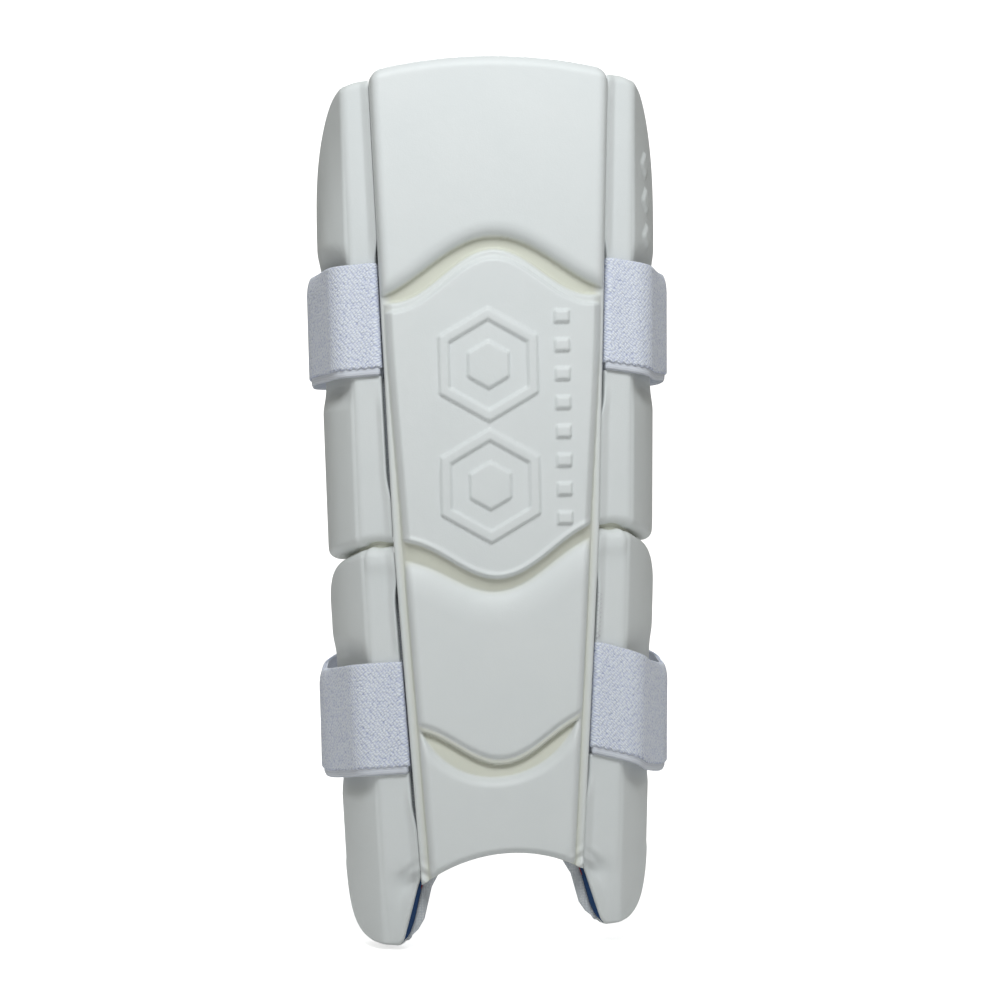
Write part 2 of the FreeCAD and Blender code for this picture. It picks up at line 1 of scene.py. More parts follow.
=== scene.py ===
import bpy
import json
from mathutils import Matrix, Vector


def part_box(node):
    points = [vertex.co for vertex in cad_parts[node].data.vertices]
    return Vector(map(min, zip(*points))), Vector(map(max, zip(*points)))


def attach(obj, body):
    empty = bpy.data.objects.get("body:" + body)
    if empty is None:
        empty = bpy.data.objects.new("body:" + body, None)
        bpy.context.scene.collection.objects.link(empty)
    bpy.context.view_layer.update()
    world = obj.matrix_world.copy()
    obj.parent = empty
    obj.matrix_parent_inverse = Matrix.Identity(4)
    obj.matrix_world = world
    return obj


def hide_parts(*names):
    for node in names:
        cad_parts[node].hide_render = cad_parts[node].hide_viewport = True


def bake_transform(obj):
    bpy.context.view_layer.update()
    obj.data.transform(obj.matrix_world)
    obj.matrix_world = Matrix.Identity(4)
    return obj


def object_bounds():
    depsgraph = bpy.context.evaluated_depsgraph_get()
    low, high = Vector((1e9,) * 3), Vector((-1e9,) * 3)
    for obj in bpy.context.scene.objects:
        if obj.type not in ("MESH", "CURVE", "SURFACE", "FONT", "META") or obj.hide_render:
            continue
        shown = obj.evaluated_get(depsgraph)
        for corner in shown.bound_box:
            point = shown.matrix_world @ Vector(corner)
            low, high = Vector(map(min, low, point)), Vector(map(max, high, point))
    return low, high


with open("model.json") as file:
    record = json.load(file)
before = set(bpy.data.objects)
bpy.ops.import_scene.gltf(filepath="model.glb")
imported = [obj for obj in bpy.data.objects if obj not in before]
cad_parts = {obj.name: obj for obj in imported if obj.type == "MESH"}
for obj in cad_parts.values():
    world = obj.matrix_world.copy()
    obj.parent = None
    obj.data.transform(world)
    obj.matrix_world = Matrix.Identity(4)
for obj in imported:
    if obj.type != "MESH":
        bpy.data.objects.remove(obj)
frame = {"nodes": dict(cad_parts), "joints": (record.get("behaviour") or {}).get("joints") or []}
cad_box = [list(corner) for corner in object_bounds()]

import json
import math

import bmesh
import bpy
import numpy as np
from mathutils import Quaternion, Vector

# The looks of a wicket-keeper's leg pad. The frame gives places and sizes, in metres: +Z up
# the leg, -Y out of the moulded front. Each group of pieces has its own section below.

MM = 0.001


def mm(*values):
    """Millimetres as metres."""
    return [value * MM for value in values]


JOINTS = {joint["name"]: joint for joint in frame["joints"]}
LEVELS = ("upper", "lower")
SIDES = {"left": -1.0, "right": 1.0}
SECTION = {"upper": "knee_section", "lower": "shin_section"}

# Depths, from the frame.
SKIN = 3 * MM
PANEL_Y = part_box("top_panel_insert")[0][1] - SKIN      # front of the raised panels
RIM_Y = PANEL_Y + 10 * MM                              # front of the rim and the valleys
CORE_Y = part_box("knee_lining")[0][1]                   # where core and lining meet
WALL_Y = CORE_Y - 3.5 * MM                             # where the facing's walls end
LINING_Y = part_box("knee_lining")[1][1]
TOP_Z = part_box("knee_facing")[1][2]
FOOT_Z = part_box("foot_piping")[1][2]

# The wings, in plan.
GROOVE = 0.4 * MM
WING_Y = -74 * MM
FRONT_ANGLE = math.radians(12)
SIDE_ANGLE = {"upper": math.radians(72), "lower": math.radians(68)}
SIDE_LENGTH = {"upper": 74 * MM, "lower": 72 * MM}
# The crease's x at z = 0 and at another height, and that height.
CREASE = {"upper": mm(97, 104, 337), "lower": mm(94.5, 82.4, -285)}
WING_CORE = 12 * MM
WING_DEPTH = 18 * MM
NOTCH = 1.6 * MM         # between an upper and a lower wing, apart from its open recess

# The straps.
STRAP_Z = {level: sum(c[2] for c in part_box(f"{level}_strap_outer_half")) / 2 for level in LEVELS}
STRAP_HEIGHT = 80 * MM
HEM = 6 * MM                                           # base ply that shows below the pile
PLY = 1.5 * MM
SCALLOP, SCALLOP_PITCH = 1.4 * MM, 5.4 * MM            # of the pile's lower edge
STRAP_LIFT = 1 * MM                                    # off the wing's front
STRAP_SIDE_X = {"upper": 130 * MM, "lower": 126 * MM}
SLOT_Y = -66 * MM                                      # where a strap leaves its slot
# The radii of a strap's turns: at the slot, over the wing's crease, near its rear edge, and
# behind the leg on the inner and on the outer half.
SLOT_TURN, CREASE_TURN, REAR_TURN, INNER_TURN, OUTER_TURN = mm(2.4, 19, 60, 42, 46)
INNER_Y, OUTER_Y = 56.5 * MM, 61 * MM
INNER_END_X = -10 * MM
TAB_X, TAB_END_X = -30 * MM, -76 * MM


# ---- numbers and curves ----------------------------------------------------------------
def smooth(t):
    t = np.clip(t, 0.0, 1.0)
    return t * t * (3 - 2 * t)


def dome(t, power=2.0):
    """0 at the foot of an edge, 1 from t = 1 on, with a round shoulder."""
    return (1 - (1 - np.clip(t, 0.0, 1.0)) ** power) ** (1 / power)


def lerp(a, b, t):
    return a + (b - a) * t


def hill(x, centre, reach):
    """1 at the centre, falling to nothing about two reaches away."""
    return np.exp(-((x - centre) / reach) ** 2)


def within(z, low, high, soft):
    """1 between low and high, falling to 0 over soft outside them."""
    return smooth((z - low) / soft + 1) * smooth((high - z) / soft + 1)


def scatter(a, b, seed):
    """A repeatable number from 0 to 1 for each pair of whole numbers."""
    value = np.sin(a * 12.9898 + b * 78.233 + seed * 37.719) * 43758.5453
    return value - np.floor(value)


class Bell:
    """z across the front: ends + skew * x, and mid at the middle, with a bell between."""

    def __init__(self, mid, ends, reach, skew=0.0, power=1.0, centre=0.0):
        self.mid, self.ends, self.reach = mid, ends, reach
        self.skew, self.power, self.centre = skew, power, centre

    def at(self, x):
        t = np.clip((x - self.centre) / self.reach, -1.0, 1.0)
        swell = ((1 + np.cos(np.pi * t)) / 2) ** self.power
        return self.ends + self.skew * x + (self.mid - self.ends) * swell


class Bow:
    """z across the front along a circle: positive radius turns the ends up."""

    def __init__(self, mid, radius, skew=0.0):
        self.mid, self.radius, self.skew = mid, radius, skew

    def at(self, x):
        r = abs(self.radius)
        rise = r - np.sqrt(np.maximum(r * r - x * x, 0.0))
        return self.mid + math.copysign(1.0, self.radius) * rise + self.skew * x


def side_slope(level):
    """How much the column's half width grows per unit of height."""
    axis = JOINTS[f"{level}_right_wing_flex"]["axis"]
    return axis[0] / axis[2]


def half_width(level, z):
    """Half the column's width, from the hinge that runs along its side."""
    return JOINTS[f"{level}_right_wing_flex"]["pos_m"][0] - GROOVE + side_slope(level) * z


def column_half(z):
    return np.where(z > 0, half_width("upper", z), half_width("lower", z))


def crease_x(level, z):
    at_zero, at_ref, ref = CREASE[level]
    return at_zero + (at_ref - at_zero) * z / ref


def unit(angle):
    return np.array([math.cos(angle), math.sin(angle)])


# ---- meshes ----------------------------------------------------------------------------
def mesh_object(name, points, faces, material, **attributes):
    mesh = bpy.data.meshes.new(name)
    mesh.from_pydata([tuple(p) for p in points], [], [tuple(int(i) for i in f) for f in faces])
    mesh.update()
    mesh.shade_smooth()
    for key, values in attributes.items():
        values = np.asarray(values, dtype=np.float32)
        if values.ndim == 1:
            mesh.attributes.new(key, "FLOAT", "POINT").data.foreach_set("value", values)
        else:
            mesh.attributes.new(key, "FLOAT_VECTOR", "POINT").data.foreach_set(
                "vector", values.reshape(-1))
    mesh.materials.append(material)
    obj = bpy.data.objects.new(name, mesh)
    bpy.context.scene.collection.objects.link(obj)
    return obj


def quads(index, flip=False):
    """The faces of a grid of vertex numbers."""
    a, b, c, d = index[:-1, :-1], index[:-1, 1:], index[1:, 1:], index[1:, :-1]
    ring = (a, d, c, b) if flip else (a, b, c, d)
    return np.stack(ring, axis=-1).reshape(-1, 4)


def rim_loop(index):
    """The border of a grid of vertex numbers, once round."""
    return np.concatenate([index[0, :-1], index[:-1, -1], index[-1, :0:-1], index[:0:-1, 0]])


def strip(loop_a, loop_b, flip=False):
    """The faces between two closed loops of vertex numbers."""
    a, b = loop_a, loop_b
    a2, b2 = np.roll(a, -1), np.roll(b, -1)
    ring = (a, b, b2, a2) if flip else (a, a2, b2, b)
    return np.stack(ring, axis=-1)


def mirrored(points, side):
    out = np.array(points, dtype=float)
    out[..., 0] *= SIDES[side]
    return out


def xyz(x, y, z):
    """Points from their coordinates, of which any may be one number."""
    return np.stack(np.broadcast_arrays(x, y, z), axis=-1)


def fasten(obj, body, slot, *nodes):
    """Makes obj ride on a body and hides the CAD nodes it stands for; slot is not used."""
    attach(obj, body)
    if nodes:
        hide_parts(*nodes)


def grid_object(name, outer, inner, material, side="right", **attributes):
    """A closed piece between two matching grids of points. Drawn for the right side."""
    rows, cols = outer.shape[:2]
    top = np.arange(rows * cols).reshape(rows, cols)
    low = top + rows * cols
    points = np.concatenate([outer.reshape(-1, 3), inner.reshape(-1, 3)])
    faces = np.concatenate([quads(top), quads(low, True), strip(rim_loop(top), rim_loop(low), True)])
    if side == "left":
        points, faces = mirrored(points, side), faces[:, ::-1]
    doubled = {key: np.concatenate([value.reshape(-1, *value.shape[2:])] * 2)
               for key, value in attributes.items()}
    obj = mesh_object(name, points, faces, material, **doubled)
    tidy(obj)
    return obj


def tidy(obj, distance=1e-6):
    """Merges points that coincide and points all faces outwards."""
    bm = bmesh.new()
    bm.from_mesh(obj.data)
    bmesh.ops.remove_doubles(bm, verts=bm.verts, dist=distance)
    bmesh.ops.dissolve_degenerate(bm, edges=bm.edges, dist=distance)
    bmesh.ops.recalc_face_normals(bm, faces=bm.faces)
    bm.to_mesh(obj.data)
    bm.free()
    obj.data.shade_smooth()


def tube(centres, radius, sides=8):
    """Points and faces of a round bead along a line of points."""
    centres = np.asarray(centres, dtype=float)
    along = np.gradient(centres, axis=0)
    along /= np.linalg.norm(along, axis=1, keepdims=True)
    normal = np.cross(along[0], (0.31, 0.83, 0.47))
    rings = []
    angle = np.linspace(0, 2 * math.pi, sides, endpoint=False)
    for centre, ahead in zip(centres, along):
        normal = normal - ahead * (normal @ ahead)
        normal /= np.linalg.norm(normal)
        across = np.cross(ahead, normal)
        rings.append(centre + radius * (np.outer(np.cos(angle), normal) + np.outer(np.sin(angle), across)))
    index = np.arange(len(centres) * sides).reshape(-1, sides)
    index = np.concatenate([index, index[:, :1]], axis=1)
    faces = [list(f) for f in quads(index)] + [list(index[0, :-1]), list(index[-1, :-1][::-1])]
    return np.concatenate(rings), faces


def tube_object(name, lines, radius, material, sides=8):
    """One object of round beads along one or more lines of points."""
    points, faces, count = [], [], 0
    for line in lines:
        ring_points, ring_faces = tube(line, radius, sides)
        points.append(ring_points)
        faces += [[i + count for i in face] for face in ring_faces]
        count += len(ring_points)
    obj = mesh_object(name, np.concatenate(points), faces, material)
    tidy(obj)
    return obj


def lengths_along(line):
    return np.concatenate([[0], np.cumsum(np.linalg.norm(np.diff(line, axis=0), axis=1))])


def stitches(name, line, out, material, length=3.0 * MM, gap=1.3 * MM, radius=0.4 * MM):
    """A row of short threads that bow outwards from the cloth along a line of points."""
    line = np.asarray(line, dtype=float)
    reach = lengths_along(line)
    bow = np.array([-0.6, 0.5, 0.9, 0.5, -0.6]) * radius
    threads = []
    for start in np.arange(0, reach[-1] - length, length + gap):
        at = np.linspace(start, start + length, len(bow))
        spots = xyz(*[np.interp(at, reach, line[:, k]) for k in range(3)])
        threads.append(spots + np.outer(bow, out))
    return tube_object(name, threads, radius, material, sides=6)


# ---- materials -------------------------------------------------------------------------
class Shader:
    """A node material, written as calls: each returns the socket that it gives."""

    def __init__(self, name, **principled):
        self.material = bpy.data.materials.new(name)
        self.material.use_nodes = True
        self.tree = self.material.node_tree
        self.bsdf = self.tree.nodes["Principled BSDF"]
        self.set(self.bsdf, principled)

    def join(self, socket, value):
        if isinstance(value, bpy.types.NodeSocket):
            self.tree.links.new(value, socket)
        else:
            socket.default_value = value

    def set(self, node, values):
        for key, value in values.items():
            self.join(node.inputs[key.replace("_", " ")], value)

    def node(self, kind, *inputs, out=0, props=None, **values):
        """A node whose sockets are given in order or by name."""
        made = self.tree.nodes.new("ShaderNode" + kind)
        for key, value in (props or {}).items():
            setattr(made, key, value)
        for socket, value in zip(made.inputs, inputs):
            self.join(socket, value)
        self.set(made, values)
        return made.outputs[out]

    def place(self):
        return self.node("TexCoord", out="Object")

    def attribute(self, name, out="Vector"):
        return self.node("Attribute", out=out, props={"attribute_name": name})

    def scaled(self, vector, scale, turn=0.0):
        return self.node("Mapping", Vector=vector, Scale=scale, Rotation=(0.0, 0.0, turn))

    def math(self, operation, a, b=0.0):
        return self.node("Math", a, b, props={"operation": operation})

    def mix(self, factor, a, b):
        made = self.tree.nodes.new("ShaderNodeMix")
        made.data_type = "RGBA"
        for socket, value in ((made.inputs[0], factor), (made.inputs[6], a), (made.inputs[7], b)):
            self.join(socket, value)
        return made.outputs[2]

    def spread(self, value, low, high, to_low=0.0, to_high=1.0):
        return self.node("MapRange", value, low, high, to_low, to_high)

    def bump(self, height, strength, distance, **below):
        return self.node("Bump", Height=height, Strength=strength, Distance=distance, **below)

    def done(self, **principled):
        self.set(self.bsdf, principled)
        return self.material


def rgb(r, g, b):
    return (r, g, b, 1.0)


def facing_material():
    """Moulded leathery polyurethane: fine grain, faint mottle, and painted shade that makes the valleys
    darker and creamier.
    """
    s = Shader("moulded_facing", Specular_IOR_Level=0.35, Coat_Weight=0.10, Coat_Roughness=0.4)
    place = s.place()
    mottle = s.node("TexNoise", Vector=place, Scale=22.0, Detail=3.0)
    valley = s.attribute("valley", out="Fac")
    white = s.mix(mottle, rgb(0.73, 0.765, 0.778), rgb(0.775, 0.80, 0.81))
    # painted shade: the valley attribute mixes a darker, creamier tone into the recesses
    colour = s.mix(valley, white, rgb(0.69, 0.70, 0.615))
    grain = s.node("TexVoronoi", out="Distance", Vector=place, Scale=900.0)
    dimple = s.node("TexNoise", Vector=place, Scale=160.0, Detail=4.0)
    normal = s.bump(grain, 0.12, 0.00025)
    normal = s.bump(dimple, 0.12, 0.0006, Normal=normal)
    rough = s.spread(dimple, 0.3, 0.7, 0.44, 0.54)
    return s.done(Base_Color=colour, Roughness=rough, Normal=normal)


def pile_material():
    """Brushed loop pile on elastic: white loops, and lilac between them that is partly the cloth's colour
    and partly painted shade, darker where a loop sits low.
    """
    s = Shader("loop_pile", Roughness=0.92, Sheen_Weight=0.25, Sheen_Roughness=0.4,
               Specular_IOR_Level=0.2)
    cloth = s.attribute("cloth")
    loop = s.attribute("loop", out="Fac")
    rows = s.scaled(s.scaled(cloth, (1.0, 1.0, 1.0), 0.65), (450.0, 660.0, 1.0))
    threads = s.node("TexVoronoi", out="Distance", Vector=rows, Scale=1.0, Randomness=0.4)
    fuzz = s.node("TexNoise", Vector=cloth, Scale=2600.0, Detail=3.0)
    patch = s.node("TexNoise", Vector=cloth, Scale=60.0, Detail=2.0)
    light = s.mix(patch, rgb(0.84, 0.885, 0.975), rgb(0.90, 0.935, 0.99))
    # painted shade: the lilac between the loops is darker where the loop attribute is low, as in the
    # crevices
    shaded_lilac = s.mix(loop, rgb(0.38, 0.42, 0.64), rgb(0.70, 0.74, 0.90))
    colour = s.mix(s.spread(threads, 0.28, 0.66), light, shaded_lilac)
    height = s.math("SUBTRACT", s.math("MULTIPLY", fuzz, 0.3), threads)
    return s.done(Base_Color=colour, Normal=s.bump(height, 0.8, 0.0009))


def webbing_material():
    """The elastic's smooth base ply: fine ribs along it."""
    s = Shader("elastic_base", Roughness=0.75, Sheen_Weight=0.2, Specular_IOR_Level=0.25)
    cloth = s.attribute("cloth")
    ribs = s.node("TexWave", Vector=cloth, Scale=190.0, Distortion=1.5, Detail=2.0,
                  props={"bands_direction": "Y"})
    threads = s.node("TexWave", Vector=cloth, Scale=420.0, Distortion=0.8,
                     props={"bands_direction": "X"})
    colour = s.mix(ribs, rgb(0.70, 0.73, 0.82), rgb(0.78, 0.81, 0.88))
    normal = s.bump(ribs, 0.2, 0.0003)
    normal = s.bump(threads, 0.35, 0.0003, Normal=normal)
    return s.done(Base_Color=colour, Normal=normal)


def lining_material(name, dent, between, scale):
    """Knitted spacer mesh: rows of small round dents."""
    s = Shader(name, Roughness=0.85, Sheen_Weight=0.25, Specular_IOR_Level=0.25)
    place = s.place()
    knit = s.node("TexVoronoi", out="Distance", Vector=place, Scale=scale, Randomness=0.25)
    weave = s.node("TexNoise", Vector=place, Scale=scale * 4, Detail=2.0)
    patch = s.node("TexNoise", Vector=place, Scale=30.0)
    colour = s.mix(s.spread(knit, 0.12, 0.5), dent, between)
    colour = s.mix(s.math("MULTIPLY", patch, 0.25), colour, between)
    normal = s.bump(knit, 0.6, 0.0008)
    normal = s.bump(weave, 0.3, 0.0003, Normal=normal)
    return s.done(Base_Color=colour, Normal=normal)


def woven_material(name, colour_a, colour_b, scale, rough, depth):
    """Binding tape, cord or thread: fine diagonal twist."""
    s = Shader(name, Roughness=rough, Sheen_Weight=0.04, Specular_IOR_Level=0.3)
    weave = s.node("TexWave", Vector=s.place(), Scale=scale, Distortion=2.0, Detail=2.0,
                   props={"bands_direction": "DIAGONAL"})
    colour = s.mix(weave, colour_a, colour_b)
    return s.done(Base_Color=colour, Normal=s.bump(weave, 0.45, depth))


def foam_material():
    """Closed-cell foam: matt, with fine cells."""
    s = Shader("foam", Roughness=0.92, Specular_IOR_Level=0.2)
    place = s.place()
    cells = s.node("TexVoronoi", out="Distance", Vector=place, Scale=1100.0)
    patch = s.node("TexNoise", Vector=place, Scale=40.0)
    colour = s.mix(patch, rgb(0.68, 0.70, 0.69), rgb(0.74, 0.75, 0.74))
    return s.done(Base_Color=colour, Normal=s.bump(cells, 0.4, 0.0004))


def hook_material():
    """Hook tape: close rows of small hooks."""
    s = Shader("hook_tape", Roughness=0.6)
    hooks = s.node("TexVoronoi", out="Distance", Vector=s.place(), Scale=850.0, Randomness=0.1)
    colour = s.mix(s.spread(hooks, 0.2, 0.6), rgb(0.70, 0.70, 0.76), rgb(0.46, 0.46, 0.54))
    return s.done(Base_Color=colour, Normal=s.bump(hooks, 1.0, 0.0012))


def floor_material():
    """A pale sweep with a white strip up the middle that glows behind the object: painted light,
    an emission standing in for a studio's lit white background. The strip widens away from the object."""
    s = Shader("pale_floor", Roughness=0.9, Specular_IOR_Level=0.1)
    place = s.place()
    tone = s.node("TexNoise", Vector=place, Scale=3.0)
    depth = s.node("SeparateXYZ", out="Y", Vector=place)
    across = s.math("ABSOLUTE", s.node("SeparateXYZ", out="X", Vector=place))
    share = s.math("DIVIDE", across, s.math("ADD", s.math("MULTIPLY", depth, 0.30), 0.42))
    # painted light: the emission fades in behind the object and is strongest along the middle strip
    strength = s.math("MULTIPLY", s.spread(depth, -0.9, -0.24), s.spread(depth, -0.1, 1.2, 0.66, 0.95))
    glow = s.math("MULTIPLY", strength, s.spread(share, 1.0, 2.0, 1.0, 0.0))
    colour = s.mix(tone, rgb(0.68, 0.68, 0.68), rgb(0.72, 0.72, 0.72))
    return s.done(Base_Color=colour, Emission_Color=rgb(1.0, 1.0, 1.0), Emission_Strength=glow)


FACING = facing_material()
PILE = pile_material()
WEBBING = webbing_material()
LINING = lining_material("spacer_mesh", rgb(0.76, 0.78, 0.80), rgb(0.58, 0.61, 0.66), 520.0)
PADDING = lining_material("brushed_knit", rgb(0.72, 0.74, 0.76), rgb(0.60, 0.63, 0.67), 900.0)
NAVY = woven_material("navy_binding", rgb(0.004, 0.016, 0.08), rgb(0.008, 0.06, 0.17), 600.0, 0.5, 0.0003)
RED = woven_material("red_cord", rgb(0.15, 0.006, 0.012), rgb(0.25, 0.015, 0.025), 900.0, 0.5, 0.0002)
THREAD = woven_material("thread", rgb(0.74, 0.74, 0.78), rgb(0.62, 0.62, 0.67), 900.0, 0.6, 0.0002)
FOAM = foam_material()
HOOKS = hook_material()


# ---- the column's moulded facing -------------------------------------------------------
CROWN = Bow(TOP_Z, -350 * MM)
FOOT = Bow(FOOT_Z, -105 * MM, 0.08)
PEAK_X, PLATE_PEAK_X = mm(2, 3)      # the valleys' lowest points are a little off the middle


def flex_line(shift):
    """The middle of the flex valley, moved up by shift."""
    return Bell(-31 * MM + shift, 0.5 * MM + shift, 74 * MM, 0.10, centre=PEAK_X)


FLEX = flex_line(0.0)
CREST = 2.5 * MM         # the round of the column's outer edge
CROWN_CORNER = 9 * MM


def corner_in(x, z):
    """How far the crown's rounded corners bring the column's side in."""
    below = np.clip(CROWN.at(x) - z, 0.0, CROWN_CORNER)
    return CROWN_CORNER - np.sqrt(CROWN_CORNER ** 2 - (CROWN_CORNER - below) ** 2)


class Panel:
    """A raised panel: its two edges, its rolls there and at its sides, and its rim."""

    def __init__(self, low, high, roll_low, roll_high, roll_side, rim, power=2.0):
        self.low, self.high = low, high
        self.roll_low, self.roll_high, self.roll_side = roll_low, roll_high, roll_side
        self.rim, self.power = rim, power

    def past(self, curve, x, z):
        """How far above a curve each point lies, square to it."""
        step = 0.5 * MM
        slope = (curve.at(x + step) - curve.at(x - step)) / (2 * step)
        return (z - curve.at(x)) / np.sqrt(1 + slope * slope)

    def rise(self, x, z):
        side = column_half(z) - corner_in(x, z) - self.rim(z) - np.abs(x)
        return (dome(self.past(self.low, x, z) / self.roll_low, self.power)
                * dome(-self.past(self.high, x, z) / self.roll_high, self.power)
                * dome(side / self.roll_side, self.power))


def rim_width(z):
    """The flat beside the panels: it widens from the knee down."""
    return lerp(2.2, 6.0, smooth((150 * MM - z) / (170 * MM))) * MM


def no_rim(z):
    return 0.6 * MM + 0 * z


PANELS = {
    "top": Panel(Bell(*mm(210.5, 172, 80), 0.03, 0.8), CROWN, *mm(11, 9, 7.5), no_rim, 2.2),
    "knee": Panel(Bell(*mm(-28.5, 4, 73), 0.085, centre=PLATE_PEAK_X), Bell(*mm(197.5, 163, 70), 0.03),
                  *mm(2.6, 3.5, 6), rim_width, 1.35),
    "shin": Panel(Bell(*mm(-154, -125, 66), 0.07, centre=PEAK_X),
                  Bell(*mm(-35.5, -6, 72), 0.115, centre=PEAK_X), *mm(5, 24, 6), rim_width, 1.9),
    "instep": Panel(FOOT, Bow(*mm(-165, 58), 0.07), *mm(6, 8, 6), rim_width, 1.8),
}

# Lower steps in the valleys, each with its share of the panels' height and of their unshaded colour, which
# takes off part of the painted valley shade.
STEPS = (
    # the flex valley's floor, which falls towards the shin panel
    (0.54, 0.0, Panel(Bell(*mm(-42, -12.5, 72), 0.115, centre=PEAK_X),
                      Bell(*mm(-24, 8.5, 73), 0.085, centre=PLATE_PEAK_X), *mm(22, 2, 14), rim_width)),
    # a ledge above the knee plate and one below the shin panel
    (0.50, 0.5, Panel(PANELS["knee"].low, Bell(*mm(202.5, 168, 70), 0.03),
                      *mm(2.6, 2, 6), rim_width, 1.35)),
    (0.72, 0.2, Panel(Bell(*mm(-157.5, -128.5, 66), 0.07, centre=PEAK_X), PANELS["shin"].high,
                      *mm(1.5, 24, 6), rim_width, 1.9)),
    # the recess above the instep, which comes forward as it goes down
    (0.50, 0.1, Panel(FOOT, Bell(*mm(-156, -127, 66), 0.07, centre=PEAK_X),
                      *mm(6, 18, 6), rim_width, 1.8)),
)
PLATE_LIP, LIP_IN, LIP_REACH = mm(1.1, 3.2, 1.8)     # along the plate's lower edge
SHADE_FREE_RIM = 9 * MM       # within this much of its outer edge the painted valley shade fades out

# The knee plate's plain raised decoration: two hexagonal rings, each with a boss, and bars.
RELIEF = 2.5 * MM
RELIEF_EDGE = 1.4 * MM
RING_X, RING_Z = -4 * MM, (121 * MM, 37 * MM)
RING_RADIUS, RING_WIDTH, BOSS_RADIUS = 40 * MM, 9 * MM, 17 * MM
BARS, BAR_X, BAR_Z, BAR_PITCH = 8, 47.5 * MM, 84 * MM, 20 * MM
BAR_HALF = (5.5 * MM, 4.5 * MM)


def in_hexagon(x, z, radius):
    """How far inside an upright hexagon each point lies."""
    apothem = radius * math.cos(math.pi / 6)
    far = np.maximum(np.abs(x), np.abs(x) / 2 + np.abs(z) * math.cos(math.pi / 6))
    return apothem - far


def relief(x, z):
    inside = np.full(x.shape, -1.0)
    for middle in RING_Z:
        dx, dz = x - RING_X, z - middle
        ring = np.minimum(in_hexagon(dx, dz, RING_RADIUS),
                          -in_hexagon(dx, dz, RING_RADIUS - RING_WIDTH))
        inside = np.maximum(inside, np.maximum(ring, in_hexagon(dx, dz, BOSS_RADIUS)))
    for k in range(BARS):
        dz = z - BAR_Z - BAR_PITCH * (k - (BARS - 1) / 2)
        bar = np.minimum(BAR_HALF[0] - np.abs(x - BAR_X), BAR_HALF[1] - np.abs(dz))
        inside = np.maximum(inside, bar)
    return RELIEF * dome(inside / RELIEF_EDGE, 1.5)


PUCKER = 1.9 * MM


def foot_puckers(x, z):
    """Small folds where the moulding is drawn in at the two lower corners."""
    corner_z = FOOT.at(column_half(FOOT_Z) * np.sign(x)) + 3 * MM
    dx, dz = column_half(z) - np.abs(x), z - corner_z
    near = hill(dx, 0.0, 9 * MM) * hill(dz, 0.0, 11 * MM)
    return PUCKER * near * np.sin((dz + 0.6 * dx) / (1.6 * MM))


def facing_depth(x, z):
    """(y, valley) of the column's front: valley is the painted shade's share, 1 on the floors and 0 on the
    panels.
    """
    rise = np.zeros(x.shape)
    for panel in PANELS.values():
        rise = np.maximum(rise, panel.rise(x, z))
    plate = PANELS["knee"]
    lip = PLATE_LIP * hill(plate.past(plate.low, x, z), LIP_IN, LIP_REACH) * plate.rise(x, z)
    height = rise
    # white is each step's share of unshaded colour, which lessens the painted valley shade
    for share, white, step in STEPS:
        full = step.rise(x, z)
        height, rise = np.maximum(height, share * full), np.maximum(rise, white * full)
    y = RIM_Y + (PANEL_Y - RIM_Y) * height - lip - relief(x, z) - foot_puckers(x, z)
    edge = column_half(z) - corner_in(x, z) - np.abs(x)
    y = y + CREST * (1 - dome(edge / CREST))
    near_rim = smooth(1 - edge / SHADE_FREE_RIM)
    return y, (1 - smooth(rise * 1.6)) * (1 - near_rim)


def crowded(count, share):
    """Numbers from 0 to 1 that lie closer together near the ends, the more so with share."""
    t = np.linspace(0, 1, count)
    return lerp(t, (1 - np.cos(np.pi * t)) / 2, share)


def column_grid(low, high, rows, cols, inset=0.0):
    """x and z over one section's front, with rows that follow its two curves."""
    even = np.linspace(-1, 1, cols)
    turn = math.pi / 2 * 0.96
    u = lerp(even, np.sin(even * turn) / math.sin(turn), 0.35)
    t = crowded(rows, 0.15)[:, None]
    x = np.broadcast_to(u * column_half(0.0), (rows, cols))
    for _ in range(4):
        z = lerp(low.at(x), high.at(x), t)
        x = u * (column_half(z) - inset - corner_in(x, z))
    return x, z


# Rings of the column's side wall: share of its depth, and the millimetres it is drawn in there.
WALL_RINGS = ((0.10, 0.0), (0.30, 0.0), (0.36, 0.9), (0.60, 0.9), (0.66, 0.0), (1.0, 0.0))


def column_facing():
    """Both sections' skin in one sheet across the flex valley, walls included."""
    shin, knee = column_grid(FOOT, FLEX, 200, 160), column_grid(FLEX, CROWN, 340, 160)
    x, z = (np.concatenate([low, high[1:]]) for low, high in zip(shin, knee))
    y, valley = facing_depth(x, z)
    index = np.arange(x.size).reshape(x.shape)
    points, faces, shade = [xyz(x, y, z).reshape(-1, 3)], [quads(index, True)], []
    previous = rim_loop(index)
    edge = points[0][previous]
    at_side = np.abs(edge[:, 0]) > column_half(edge[:, 2]) * 0.985
    start = x.size
    for share, dip in WALL_RINGS:
        ring = edge.copy()
        ring[:, 1] = lerp(edge[:, 1], WALL_Y, share)
        ring[:, 0] -= np.sign(ring[:, 0]) * dip * MM * at_side
        number = start + np.arange(len(edge))
        start += len(edge)
        points.append(ring)
        shade.append(np.zeros(len(edge)))
        faces.append(strip(previous, number))
        previous = number
    obj = mesh_object("column_moulding", np.concatenate(points), np.concatenate(faces), FACING,
                      valley=np.concatenate([valley.reshape(-1), *shade]))
    tidy(obj)
    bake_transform(obj)
    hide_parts("knee_facing", "top_panel_insert", "knee_plate_insert", "knee_flex_web",
                "shin_facing", "shin_panel_insert", "instep_panel_insert")


